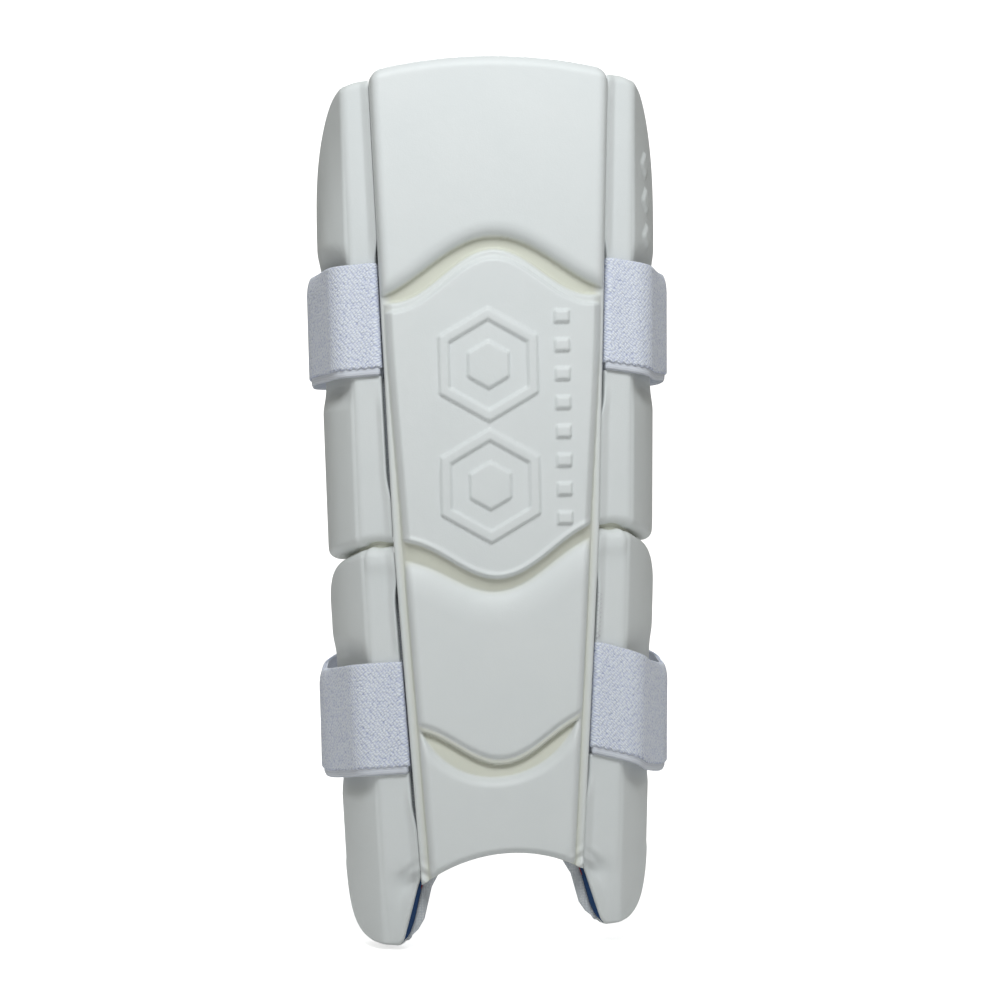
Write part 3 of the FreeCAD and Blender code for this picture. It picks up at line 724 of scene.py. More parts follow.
def column_slab(name, level, curves, depths, inset, roll, material, slot, swell, node):
    """A layer behind the facing, with round edges; swell(x, z) moves its back face."""
    low, high = curves
    front_y, back_y = depths
    x, z = column_grid(low, high, 170, 100, inset)
    side = column_half(z) - inset - np.abs(x)
    distance = np.minimum(np.minimum(z - low.at(x), high.at(x) - z), side)
    full = dome(distance / roll)
    middle = (front_y + back_y) / 2
    front = xyz(x, lerp(middle, front_y, full), z)
    back = xyz(x, lerp(middle, back_y, full) + swell(x, z) * full, z)
    obj = grid_object(name, front, back, material)
    fasten(obj, SECTION[level], slot, node)


QUILT = 1.8 * MM
KNEE_CHANNEL = 26 * MM
SHIN_CHANNEL = 33 * MM
WING_CHANNEL = 34 * MM


def knee_quilt(x, z):
    """Rolls across, between sewn lines."""
    return QUILT * np.abs(np.sin(np.pi * (z - 7 * MM) / KNEE_CHANNEL)) ** 0.5 - QUILT / 3


def shin_quilt(x, z):
    """Rolls up the shin, between sewn lines."""
    return QUILT * np.abs(np.cos(np.pi * x / SHIN_CHANNEL)) ** 0.5 - QUILT / 3


def strap_channel(level):
    """What the foam gives up to the strap that runs behind it."""
    def dip(x, z):
        return -3.1 * MM * within(z, STRAP_Z[level] - 44 * MM, STRAP_Z[level] + 46 * MM, 1 * MM)
    return dip


def edge_bead(name, level, curve, lift, inset, node):
    """The bound edge between foam and lining, with a fine red cord in front of it."""
    reach = float(column_half(curve.at(0.0))) - inset
    x = np.linspace(-reach, reach, 60)
    line = xyz(x, CORE_Y, curve.at(x) + lift)
    bead = tube_object(name, [line], 1.9 * MM, NAVY)
    cord = tube_object(name + "_cord", [line - (0, 2.3 * MM, 0)], 0.7 * MM, RED)
    fasten(bead, SECTION[level], "piping", node)
    fasten(cord, SECTION[level], "piping")


# How far the foams and the linings stay off the flex line, so that the knee can rock.
FOAM_GAP = 2.6 * MM
LINING_GAP = 0.9 * MM


def make_column():
    column_facing()
    for section, level, quilt, way in (("knee", "upper", knee_quilt, 1),
                                       ("shin", "lower", shin_quilt, -1)):
        foam, lining = [(flex_line(gap * way), CROWN) if level == "upper" else (FOOT, flex_line(gap * way))
                        for gap in (FOAM_GAP, LINING_GAP)]
        column_slab(f"{section}_foam", level, foam, (WALL_Y - 5 * MM, CORE_Y), 0.8 * MM, 1.2 * MM,
                    FOAM, "foam", strap_channel(level), f"{section}_core")
        column_slab(f"{section}_padding", level, lining, (CORE_Y + 0.1 * MM, LINING_Y), 1.2 * MM,
                    5 * MM, LINING, "lining", quilt, f"{section}_lining")
    edge_bead("crown_binding", "upper", CROWN, 0.2 * MM, 9 * MM, "crown_piping")
    edge_bead("foot_binding", "lower", FOOT, -0.2 * MM, 14 * MM, "foot_piping")


# ---- the wings -------------------------------------------------------------------------
# How far a strap lies above its CAD middle: (at its slot, where it has turned backwards).
STRAP_LEAN = {("upper", "left"): mm(4.5, 1), ("upper", "right"): mm(5.5, 0),
              ("lower", "left"): mm(-3.5, -5.5), ("lower", "right"): mm(6.5, -3)}
# The stretch beside the column over which a wing stands away from it: the slot and its ends.
SLOT_ENDS = {("upper", "left"): mm(49, 190), ("upper", "right"): mm(104, 190),
             ("lower", "left"): mm(-182, -48), ("lower", "right"): mm(-164, -40)}
WING_TOP = 325 * MM
EAR_SHOULDER = -235 * MM  # where an ear begins, beside the foot's arch
SLIT = 1.1 * MM          # the thin gap that runs on beyond a slot
SEWN_SLIT = 0.6 * MM     # the one slit whose edge is sewn
CLOSE = 0.2 * MM         # how much nearer the column a wing lies where there is no slot
STRAP_ROOM = 3.6 * MM
# How far a strap sags along a wing's side.
SIDE_SAG = {("upper", "left"): 0.0, ("upper", "right"): 0.0,
            ("lower", "left"): 8 * MM, ("lower", "right"): 11 * MM}
SIDE_BULGE = {"left": 5.5 * MM, "right": 3.0 * MM}       # of a wing's side


def strap_room(level, side, z):
    """How far a wing's edge stands off the column where the strap comes out."""
    middle = STRAP_Z[level] + STRAP_LEAN[level, side][0]
    return STRAP_ROOM * within(z, middle - 37 * MM, middle + 36 * MM, 2.5 * MM)


def slot_width(level, side, z):
    """The strap's room, and the thin slit that runs on beyond it."""
    low, high = SLOT_ENDS[level, side]
    slit = SEWN_SLIT if (level, side) == ("lower", "right") else SLIT
    return np.maximum(slit * within(z, low, high, 24 * MM), strap_room(level, side, z))


def wing_xy(level, z, s, depth, off=0.0):
    """Where a wing's layer lies in plan. s runs 0 to 1 over its front and 1 to 2 over its
    side, the crease between them is rounded, and off moves its edge from the column."""
    front, side = unit(FRONT_ANGLE), unit(SIDE_ANGLE[level])
    half = half_width(level, z) + GROOVE
    corner_x = crease_x(level, z)
    corner_y = WING_Y + (corner_x - half + GROOVE) * math.tan(FRONT_ANGLE)
    turn = SIDE_ANGLE[level] - FRONT_ANGLE
    back = depth * math.tan(turn / 2)
    cx = corner_x - depth * front[1] - back * front[0]
    cy = corner_y + depth * front[0] - back * front[1]
    gx = half + off
    gy = cy - (cx - gx) * math.tan(FRONT_ANGLE)
    reach = SIDE_LENGTH[level] - back
    rx, ry = cx + reach * side[0], cy + reach * side[1]
    radius = 2.4 * MM + 0.45 * depth
    on_front = s < 1
    to_crease = (s - 1) * np.where(on_front, (cx - gx) / front[0], reach)
    bend = np.clip(1 - np.abs(to_crease) / (2 * radius), 0, 1) ** 2 * radius * 0.5
    x = np.where(on_front, lerp(gx, cx, s), lerp(cx, rx, s - 1))
    y = np.where(on_front, lerp(gy, cy, s), lerp(cy, ry, s - 1))
    middle = (front + side) / np.linalg.norm(front + side)
    return x - bend * middle[1], y + bend * middle[0]


def corner_drop(share, start, height):
    t = np.clip((share - start) / (1 - start), 0, 1)
    return height * (1 - np.sqrt(1 - t * t))


def notch_z(side, x):
    """Middle of the notch between an upper and a lower wing."""
    return 2 * MM + SIDES[side] * 5 * MM - 14 * MM * smooth((x - 90 * MM) / (30 * MM))


def notch_half(x):
    """Half the notch's width, which opens into a recess beside the column."""
    return NOTCH / 2 + 1.5 * MM * hill(x, 84 * MM, 8 * MM)


def ear_tip(side):
    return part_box(f"lower_{side}_wing_facing")[0][2] + 1 * MM


def ear_shoulder(side):
    return EAR_SHOULDER + SIDES[side] * 3 * MM


def wing_x(s):
    """About how far out a wing reaches at each s, by the notch."""
    return np.interp(s, [0, 1, 2], mm(72, 97, 119))


def wing_edges(level, side, s, inset=0.0):
    """(bottom, top) of a wing at each s, pulled in by inset."""
    share = np.clip(s - 1, 0, 1)
    x = wing_x(s)
    if level == "upper":
        top = WING_TOP + SIDES[side] * 1.5 * MM - 2.5 * MM * np.clip(s, 0, 1) ** 2
        top = top - corner_drop(share, 0.0, 98 * MM)
        bottom = notch_z(side, x) + notch_half(x) + corner_drop(share, 0.7, 20 * MM)
        return bottom + inset, top - inset
    tip, shoulder = ear_tip(side), ear_shoulder(side)
    inner = np.interp(s, [0.0, 0.10, 0.60, 0.72, 0.85, 1.0, 2.0],
                      [shoulder, shoulder - 6 * MM, tip + 4 * MM, tip + 0.8 * MM, tip, tip, tip])
    bottom = inner + corner_drop(share, 0.12, 50 * MM - SIDES[side] * 5 * MM)
    top = notch_z(side, x) - notch_half(x) - corner_drop(share, 0.45, 28 * MM)
    return bottom + inset, top - inset


def wing_grid(level, side, rows, cols, inset):
    """Grids of s and z that fill a wing's outline, their distance from its outer edges, and
    their distance along it from the column."""
    s = np.concatenate([np.linspace(0, 0.12, 6, endpoint=False),
                        np.linspace(0.12, 0.9, 20, endpoint=False),
                        np.linspace(0.9, 1.15, 16, endpoint=False),
                        1 + (1 - (1 - np.linspace(0.15, 1, cols - 42)) ** 1.6)])
    bottom, top = wing_edges(level, side, s, inset)
    z = lerp(bottom, top, crowded(rows, 0.6)[:, None])
    s = np.broadcast_to(s, z.shape)
    front = (crease_x(level, z) - half_width(level, z)) / math.cos(FRONT_ANGLE)
    along = np.where(s < 1, s * front, front + (s - 1) * SIDE_LENGTH[level])
    flat = np.stack([along, z], axis=-1)
    rim = np.concatenate([flat[0, :], flat[:, -1], flat[-1, ::-1]])
    distance = np.full(z.shape, 1.0)
    for a, b in zip(rim[:-1], rim[1:]):
        line = b - a
        length = float(line @ line)
        if length < 1e-12:
            continue
        share = np.clip(((flat - a) @ line) / length, 0, 1)
        distance = np.minimum(distance, np.linalg.norm(flat - a - share[..., None] * line, axis=-1))
    return s, z, distance, along


def wing_piece(level, side, name, depths, roll, material, swell, gap_at, rows=230, cols=90, inset=0.0):
    """A layer of a wing between two depths, with round edges; roll(z) is their size,
    swell(s, z, along) lifts the outer face and sinks the inner one, and gap_at(level, side, z)
    is how far it stands off the column."""
    near, far = depths
    s, z, distance, along = wing_grid(level, side, rows, cols, inset)
    half = (far - near) / 2
    gap = gap_at(level, side, z)
    open_edge = smooth(gap / SLIT)
    off = gap - CLOSE * (1 - open_edge)
    full = dome(distance / roll(z)) * lerp(1.0, dome(along / (2.2 * MM)), open_edge)
    lift, sink = swell(s, z, along)
    outer = near + half * (1 - full) - lift * full
    inner = far - half * (1 - full) + sink * full
    grids = [xyz(*wing_xy(level, z, s, depth, off), z) for depth in (outer, inner)]
    # painted shade: the rounded edges get a little of the darker valley tone
    return grid_object(name, *grids, material, side, valley=0.3 * (1 - full))


def strap_squeeze(level, side, z):
    """1 under the strap, falling to 0 above and below it."""
    gap = np.abs(z - STRAP_Z[level] - STRAP_LEAN[level, side][1]) - STRAP_HEIGHT / 2
    return 1 - smooth(gap / (20 * MM))


def ear_hollow(side, z, along):
    """The crease under the column's corner, and the shallow valley down the ear."""
    below = z - ear_shoulder(side)
    crease = hill(along, 12 * MM, 10 * MM) * hill(below, -1 * MM - 0.15 * along, 7 * MM)
    valley = hill(along, 14 * MM + 0.25 * np.abs(below), 9 * MM) * smooth(-below / (14 * MM))
    folds = np.sin((below + 0.8 * along) / (1.7 * MM))
    folds = folds * hill(along, 4 * MM, 8 * MM) * hill(below, 5 * MM, 9 * MM)
    return 5.0 * MM * crease + 3.2 * MM * valley + 1.1 * MM * folds


LOZENGE_ALONG, LOZENGE_Z = 30 * MM, mm(214, 240, 266)
LOZENGE_HALF, LOZENGE_LIFT = mm(11, 10), 1.6 * MM


def lozenges(s, z):
    """Plain raised lozenges on the side of the upper right wing."""
    along = np.abs((s - 1) * SIDE_LENGTH["upper"] - LOZENGE_ALONG) / LOZENGE_HALF[0]
    inside = [1 - along - np.abs(z - middle) / LOZENGE_HALF[1] for middle in LOZENGE_Z]
    return LOZENGE_LIFT * dome(np.maximum.reduce(inside) * 4, 1.5)


def wing_skin(level, side):
    def roll(z):
        on_ear = smooth((ear_shoulder(side) + 8 * MM - z) / (8 * MM)) if level == "lower" else 0.0
        return lerp(7 * MM, 3 * MM, on_ear)

    def swell(s, z, along):
        pinch = strap_squeeze(level, side, z)
        bulge = np.sin(np.pi * np.clip(s - 1, 0, 1)) * SIDE_BULGE[side]
        if level == "upper":
            bulge = bulge * lerp(0.2, 1.35, smooth((310 * MM - z) / (110 * MM)))
        lift = bulge * (1 - pinch) - 1.0 * MM * pinch * smooth((s - 0.9) * 3)
        lift = lift + smooth(1 - along / (7 * MM)) * 2.8 * MM * (1 - pinch)
        if level == "lower":
            swelling = hill(z, notch_z(side, 85 * MM) - 13 * MM, 7 * MM) * (1 - smooth((s - 0.7) * 3))
            lift = lift - ear_hollow(side, z, along) + 1.6 * MM * swelling
        elif side == "right":
            lift = lift + lozenges(s, z)
        return lift, 0.0

    name = f"{level}_{side}_wing"
    obj = wing_piece(level, side, f"{name}_moulding", (0.3 * MM, WING_CORE), roll, FACING, swell,
                     slot_width)
    fasten(obj, name, "facing", f"{name}_facing", f"{name}_core")


def lining_gap(level, side, z):
    """The strap's room, and a little by the notch, where the column's side bends past."""
    return strap_room(level, side, z) + 0.9 * MM * within(z, -24 * MM, 24 * MM, 10 * MM)


def wing_lining(level, side):
    def roll(z):
        return 6 * MM

    def swell(s, z, along):
        return 0.0, QUILT * np.abs(np.sin(z * math.pi / WING_CHANNEL)) ** 0.5

    name = f"{level}_{side}_wing"
    obj = wing_piece(level, side, f"{name}_padding", (WING_CORE + 0.2 * MM, WING_DEPTH - 1 * MM),
                     roll, LINING, swell, lining_gap, 160, 76, inset=1.5 * MM)
    fasten(obj, name, "lining", f"{name}_lining")


def wing_binding(level, side):
    """The bound edge between a wing's moulding and its lining, round its outer edges."""
    by_notch, away = np.linspace(1.86, 2.0, 16), np.linspace(1.03, 2.0, 50)
    s_low, s_high = (by_notch, away) if level == "upper" else (away, by_notch)
    bottom = wing_edges(level, side, s_low, 0.5 * MM)[0]
    top = wing_edges(level, side, s_high, 0.5 * MM)[1]
    rear = np.linspace(bottom[-1], top[-1], 80)[1:-1]
    s = np.concatenate([s_low, 0 * rear + 2.0, s_high[::-1]])
    z = np.concatenate([bottom, rear, top[::-1]])
    line = mirrored(xyz(*wing_xy(level, z, s, WING_CORE + 0.8 * MM), z), side)
    name = f"{level}_{side}_wing"
    obj = tube_object(f"{name}_binding", [line], 1.6 * MM, NAVY)
    fasten(obj, name, "piping", f"{name}_piping")


def ear_band(side, name, start, end, depth, thickness, material, round_edge):
    """A band along the ear's inner edge. start and end say how far inwards it reaches, as
    shares of the liner's width, which narrows from the foot arch to the tip."""
    t = np.linspace(0, 1, 60)[:, None]
    q = np.linspace(start, end, 14)[None, :]
    tip, shoulder = ear_tip(side), ear_shoulder(side)
    s = lerp(0.0, 0.70, t)
    outer_z = wing_edges("lower", side, s)[0] + lerp(5 * MM, 1 * MM, t)
    outer_x = wing_xy("lower", outer_z, s, depth)[0] + 1.0 * MM
    inner_z = lerp(shoulder + 3.5 * MM, tip + 1 * MM, t)
    inner_x = np.interp(t, [0.0, 0.2, 0.65, 0.8, 1.0], mm(43.5, 49, 54.5, 59, 70))
    x, z = lerp(outer_x, inner_x, q), lerp(outer_z, inner_z, q)
    y = WING_Y + (x - half_width("lower", z)) * math.tan(FRONT_ANGLE) + depth / math.cos(FRONT_ANGLE)
    edge = np.minimum(q - start, end - q) / (end - start) * 2
    full = dome(edge / round_edge)
    grids = [xyz(x, y - way * thickness / 2 * full, z) for way in (1, -1)]
    return grid_object(name, *grids, material, side)


def ear_edging(side):
    """Navy trim behind the ear's inner edge, the liner behind that, and a short red cord."""
    body = f"lower_{side}_wing"
    trim = ear_band(side, f"lower_{side}_ear_trim", -0.05, 0.42, 6 * MM, 3.0 * MM, NAVY, 0.5)
    fasten(trim, body, "piping", f"{body}_ear_trim")
    liner = ear_band(side, f"lower_{side}_ear_liner", 0.1, 1.0, 10 * MM, 3.6 * MM, LINING, 0.25)
    fasten(liner, body, "lining")
    tip, shoulder = ear_tip(side), ear_shoulder(side)
    t = np.linspace(0, 0.22, 24)
    z = lerp(shoulder + 4 * MM, tip, t)
    x = lerp(53.5 * MM, 72 * MM, t ** 1.1)
    y = WING_Y + (x - half_width("lower", z)) * math.tan(FRONT_ANGLE) + 5.5 * MM
    cord = tube_object(f"lower_{side}_ear_cord", [mirrored(xyz(x, y, z), side)], 0.6 * MM, RED)
    fasten(cord, body, "piping")


STRIP_Y, STRIP_TOP, STRIP_FOOT = mm(-57.3, 312, -228)


def hinge_strip(level, side):
    """The sewn fabric between the column's padding and a wing's, left open at the strap's
    slot."""
    half_strap = STRAP_HEIGHT / 2 + 2 * MM
    middle = STRAP_Z[level] + STRAP_LEAN[level, side][0]
    notch = notch_z(side, half_width(level, 0.0))
    ends = (notch + 5 * MM, STRIP_TOP) if level == "upper" else (STRIP_FOOT, notch - 6 * MM)
    runs = ((ends[0], middle - half_strap), (middle + half_strap, ends[1]))
    across = np.linspace(-5 * MM, 6 * MM, 9)[None, :]
    sag = 0.9 * MM * hill(across, 0.0, 2.5 * MM)
    for part, (low, high) in zip(("lower", "upper"), runs):
        z = np.linspace(low, high, 40)[:, None]
        x = half_width(level, z) + across
        y = STRIP_Y - 0.36 * across - sag
        grids = [xyz(x, y + way * 0.5 * MM, z) for way in (-1, 1)]
        obj = grid_object(f"{level}_{side}_hinge_{part}", *grids, LINING, side)
        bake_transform(obj)


def notch_gusset(side):
    """The recessed web across the notch."""
    s = np.linspace(0.0, 1.7, 48)[None, :]
    v = np.linspace(-1, 1, 14)[:, None]
    z = notch_z(side, wing_x(s)) + v * (notch_half(wing_x(s)) + 1.0 * MM)
    depth = 7.5 * MM + 1.0 * MM * hill(v, 0.0, 1.0)
    grids = [xyz(*wing_xy("upper", z, s, depth + way * 0.8 * MM, -1.5 * MM), z) for way in (-1, 1)]
    # painted shade: the recessed web gets the full darker valley tone
    obj = grid_object(f"{side}_notch_gusset", *grids, FACING, side, valley=1.0 + 0 * z)
    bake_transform(obj)


def slot_zigzag():
    """The zigzag thread that closes the slit above the lower right strap."""
    z = np.arange(-39 * MM, -72 * MM, -1.6 * MM)
    step = np.arange(len(z)) % 2
    along = (1.0 + 2.6 * step) * MM
    off = slot_width("lower", "right", z)
    x = half_width("lower", z) + GROOVE + off + along
    y = WING_Y + along * math.tan(FRONT_ANGLE) - 0.5 * MM - (1 - step) * 1.0 * MM
    obj = tube_object("lower_right_slot_zigzag", [xyz(x, y, z)], 0.55 * MM, THREAD, 6)
    fasten(obj, "lower_right_wing", "elastic")


def make_wings():
    for side in SIDES:
        for level in LEVELS:
            wing_skin(level, side)
            wing_lining(level, side)
            wing_binding(level, side)
            hinge_strip(level, side)
        notch_gusset(side)
        ear_edging(side)
    slot_zigzag()


# ---- the straps ------------------------------------------------------------------------
def towards(a, b):
    return (b - a) / np.linalg.norm(b - a)


def right_of(heading):
    """The way to the right of a heading, in plan: for a strap's path that is outwards."""
    return np.stack([heading[..., 1], -heading[..., 0]], axis=-1)


def rounded_path(corners, radii, step):
    """Points, headings and lengths along straight runs joined by arcs, in plan."""
    corners = [np.array(c, dtype=float) for c in corners]
    spots, headings = [], []

    def run(a, b):
        count = max(2, int(round(np.linalg.norm(b - a) / step)))
        for share in np.arange(count) / count:
            spots.append(lerp(a, b, share))
            headings.append(towards(a, b))

    here = corners[0]
    for before, corner, after, radius in zip(corners, corners[1:], corners[2:], radii):
        ahead, then = towards(before, corner), towards(corner, after)
        turn = math.atan2(ahead[0] * then[1] - ahead[1] * then[0], ahead @ then)
        set_back = radius * math.tan(abs(turn) / 2)
        start = corner - set_back * ahead
        run(here, start)
        side = math.copysign(1.0, turn)
        centre = start - side * radius * right_of(ahead)
        count = max(4, int(round(radius * abs(turn) / step)))
        for angle in turn * np.arange(count) / count:
            heading = math.cos(angle) * ahead - math.sin(angle) * right_of(ahead)
            spots.append(centre + side * radius * right_of(heading))
            headings.append(heading)
        here = corner + set_back * then
    run(here, corners[-1])
    spots.append(corners[-1])
    headings.append(headings[-1])
    return np.array(spots), np.array(headings), lengths_along(np.array(spots))


def slot_x(level):
    return half_width(level, STRAP_Z[level]) + GROOVE + 2.0 * MM


def over_wing_corners(level):
    """The strap's corners in plan from its slot to the wing's rear edge, for the right side."""
    z, x = STRAP_Z[level], STRAP_SIDE_X[level]
    lift = STRAP_LIFT + PLY

    def on_front(at_x):
        rise = (at_x - half_width(level, z)) * math.tan(FRONT_ANGLE)
        return WING_Y + rise - lift / math.cos(FRONT_ANGLE)

    outer = crease_x(level, z) + 10 * MM - 6 * MM * (1 - math.cos(FRONT_ANGLE))
    return [(slot_x(level), SLOT_Y), (slot_x(level), on_front(slot_x(level))),
            (outer, on_front(outer)), (x, -14 * MM)]


def edge_lean(level, side, reach, lean_end):
    """How far the strap's middle is above its CAD middle along its length."""
    at_slot, turned = STRAP_LEAN[level, side]
    lean = np.interp(reach, [*mm(0, 12, 60), reach[-1]], [at_slot, at_slot, turned, lean_end])
    sag = SIDE_SAG[level, side] * hill(reach, 105 * MM, 50 * MM)
    return lean - sag + 0.5 * MM * np.sin(reach / (19 * MM) + 2 * SIDES[side])


def taper(level, x, y, z):
    """The strap follows the column's and the wing's slant, which fades out behind."""
    z0 = STRAP_Z[level]
    half, crease = half_width(level, z0), crease_x(level, z0)
    at_zero, at_ref, ref = CREASE[level]
    slope = lerp(side_slope(level), (at_ref - at_zero) / ref, np.clip((x - half) / (crease - half), 0, 1))
    return (z - z0) * slope * (1 - smooth((y + 20 * MM) / (30 * MM)))


def loops(u, v, seed):
    """The pile: slanting rows of small loops, each a bump with its own size and place."""
    pitch_u, pitch_v = 2.5 * MM, 1.9 * MM
    a = u / pitch_u + 0.45 * v / pitch_v
    b = v / pitch_v
    best = np.zeros(u.shape)
    for da in (-1, 0, 1):
        for db in (-1, 0, 1):
            ca, cb = np.floor(a) + da, np.floor(b) + db
            ga = a - ca - 0.5 - 0.5 * (scatter(ca, cb, seed) - 0.5)
            gb = b - cb - 0.5 - 0.5 * (scatter(ca, cb, seed + 1) - 0.5)
            size = 0.60 + 0.16 * scatter(ca, cb, seed + 2)
            best = np.maximum(best, 1 - (ga ** 2 + gb ** 2) / size ** 2)
    return np.sqrt(np.clip(best, 0, 1))


class Strap:
    """One run of strap in plan, from which both plies are made."""

    def __init__(self, level, side, corners, radii, lean_end, step, first=0.0, last=None, tip=0.0):
        self.level, self.side, self.tip = level, side, tip
        spots, headings, reach = rounded_path(corners, radii, step)
        lean = edge_lean(level, side, reach, lean_end)
        keep = (reach >= first) & (reach <= (reach[-1] if last is None else last))
        self.spots, self.out, self.reach, self.lean = [
            values[keep] for values in (spots, right_of(headings), reach, lean)]
        self.full = reach[-1]

    def sheet(self, name, near, far, low, high, rows, material, pile):
        """A ply between two offsets outwards from the path, low to high about its middle."""
        low, high = low + self.corner(), high - self.corner()
        v = lerp(low, high, np.linspace(0, 1, rows)[:, None])
        z = STRAP_Z[self.level] + self.lean + v
        u = np.broadcast_to(self.reach, z.shape)
        round_off = dome(np.minimum(v - low, high - v) / (0.9 * MM))
        loop = loops(u, v, 3.0 + SIDES[self.side]) if pile else 0 * u
        middle = (near + far) / 2
        grids = []
        for offset in (lerp(middle, far, round_off) + 0.4 * MM * (loop - 0.5) * round_off * pile,
                       lerp(middle, near, round_off)):
            x, y = [self.spots[:, k] + self.out[:, k] * (offset - self.curl(v)) for k in (0, 1)]
            grids.append(xyz(x + taper(self.level, x, y, z), y, z))
        obj = grid_object(name, *grids, material, self.side, cloth=xyz(u, v, 0.0), loop=loop)
        return obj

    def curl(self, v):
        """How far the strap's edges lean in where it stands off the wing's side."""
        half = STRAP_HEIGHT / 2 + 1 * MM
        off_wing = smooth(np.abs(self.spots[:, 0]) / (0.1 * STRAP_SIDE_X[self.level]) - 8.8)
        top = 5 * MM * (1 - dome((half - v) / (15 * MM)))
        return off_wing * (top + 1.2 * MM * (1 - dome((half + v) / (8 * MM))))

    def corner(self):
        """Rounds the two corners of a free tip."""
        if not self.tip:
            return 0 * self.reach
        t = np.clip(1 - (self.full - self.reach) / self.tip, 0, 1)
        return self.tip * (1 - np.sqrt(1 - t * t))

    def plies(self, name, rows):
        """The base ply, and the shorter pile ply with its scalloped lower edge."""
        half = STRAP_HEIGHT / 2
        base = self.sheet(f"{name}_base", -PLY, 0.0, 1.5 * MM - half, half + 0.5 * MM, rows // 2,
                          WEBBING, 0.0)
        scallop = SCALLOP * np.abs(np.sin(self.reach * math.pi / SCALLOP_PITCH))
        low, high = HEM + 2 * MM - half - scallop, half + 0.2 * MM
        return base, self.sheet(f"{name}_pile", 0.05 * MM, PLY, low, high, rows, PILE, 1.0)


def behind_column(level):
    """The stretch behind the column, and its turns forward into the two slots."""
    x = slot_x(level)
    middle_y = CORE_Y - 0.2 * MM - PLY
    corners = [(x, SLOT_Y), (x, middle_y), (-x, middle_y), (-x, SLOT_Y)]
    spots, headings, reach = rounded_path(corners, [SLOT_TURN, SLOT_TURN], 2 * MM)
    out = right_of(headings)
    v = np.linspace(-STRAP_HEIGHT / 2, STRAP_HEIGHT / 2, 30)[:, None]
    right, left = STRAP_LEAN[level, "right"][0], STRAP_LEAN[level, "left"][0]
    z = STRAP_Z[level] + lerp(right, left, reach / reach[-1]) + v
    grids = []
    for offset in (PLY, -PLY):
        x, y = (spots + out * offset).T
        slant = np.sign(x) * side_slope(level) * smooth(np.abs(x) / (60 * MM))
        grids.append(xyz(x + slant * (z - STRAP_Z[level]), y, z))
    obj = grid_object(f"{level}_strap_behind", *grids, WEBBING, cloth=xyz(reach, v, 0.0))
    fasten(obj, SECTION[level], "elastic", f"{level}_strap_behind_column")


JOIN_X = 92 * MM         # where the outer half's two pieces meet, behind the leg


def make_strap(level):
    """From the slots round both wings, and the two halves that close behind the leg."""
    x = STRAP_SIDE_X[level]
    over = over_wing_corners(level)
    turns = [SLOT_TURN, CREASE_TURN, REAR_TURN]

    left = Strap(level, "left", over + [(x, INNER_Y), (-INNER_END_X, INNER_Y)],
                 [*turns, INNER_TURN], 0.0, 0.9 * MM)
    for ply, node in zip(left.plies(f"{level}_left_strap", 88), ("inner_half", "over_left_wing")):
        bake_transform(ply)
        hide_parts(f"{level}_strap_{node}")

    def right(**ends):
        route = over + [(x, OUTER_Y), (TAB_END_X, OUTER_Y)]
        return Strap(level, "right", route, [*turns, OUTER_TURN], -0.5 * MM, 0.9 * MM,
                     tip=13 * MM, **ends)

    whole = right()
    behind = (whole.spots[:, 1] > OUTER_Y - 1 * MM) & (whole.spots[:, 0] < JOIN_X)
    at_join = whole.reach[int(np.argmax(behind))]
    front, back = right(last=at_join), right(first=at_join)
    for ply, node in zip(front.plies(f"{level}_right_strap", 88), ("over_right_wing", None)):
        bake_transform(ply)
        if node:
            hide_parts(f"{level}_strap_{node}")
    for ply, node in zip(back.plies(f"{level}_closing_strap", 88), ("outer_half", "tab")):
        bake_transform(ply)
        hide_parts(f"{level}_strap_{node}")
    tab_stitches(level)
    behind_column(level)
    patch = frame["nodes"][f"{level}_strap_hook_patch"]
    patch.data.materials.clear()
    patch.data.materials.append(HOOKS)


def tab_stitches(level):
    """The box of stitches that holds the hook patch, seen on the tab's outside."""
    low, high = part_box(f"{level}_strap_hook_patch")
    y = OUTER_Y + PLY + 0.25 * MM
    (left, right), (bottom, top) = [(low[k] + 2 * MM, high[k] - 2 * MM) for k in (0, 2)]
    ring = [(left, bottom), (right, bottom), (right, top), (left, top)]
    line = [(lerp(x0, x1, share), y, lerp(z0, z1, share))
            for (x0, z0), (x1, z1) in zip(ring, ring[1:] + ring[:1])
            for share in np.linspace(0, 1, 12, endpoint=False)]
    line.append(line[0])
    obj = stitches(f"{level}_tab_stitches", line, (0, 1, 0), THREAD)
    fasten(obj, f"{level}_strap_tab", "elastic")


# ---- the stuffed rolls and the cushion behind the column -------------------------------
SEAT_Y = LINING_Y - 0.8 * MM     # how deep they sit in the lining
SEAM = 1.5 * MM                  # what their swelling adds all round


def squared(value, squareness):
    """A sine or cosine bent so that it draws a rounded box: 1 is round, 0 is square."""
    return np.sign(value) * np.abs(value) ** squareness


def stuffed_seed(name, centre, radii, squareness, material):
    """A rounded box-like form, flat where it lies on the lining."""
    rows, cols = 48, 64
    up = np.linspace(-math.pi / 2, math.pi / 2, rows)[:, None]
    round_about = np.linspace(0, 2 * math.pi, cols, endpoint=False)[None, :]
    across = squared(np.cos(up), squareness)
    x = centre[0] + radii[0] * across * squared(np.cos(round_about), squareness)
    z = centre[2] + radii[2] * across * squared(np.sin(round_about), squareness)
    y = np.maximum(centre[1] + radii[1] * squared(np.sin(up), squareness), SEAT_Y)
    index = np.arange(rows * cols).reshape(rows, cols)
    index = np.concatenate([index, index[:, :1]], axis=1)
    obj = mesh_object(name, xyz(x, y, z).reshape(-1, 3), quads(index), material)
    tidy(obj, 5e-5)
    return obj


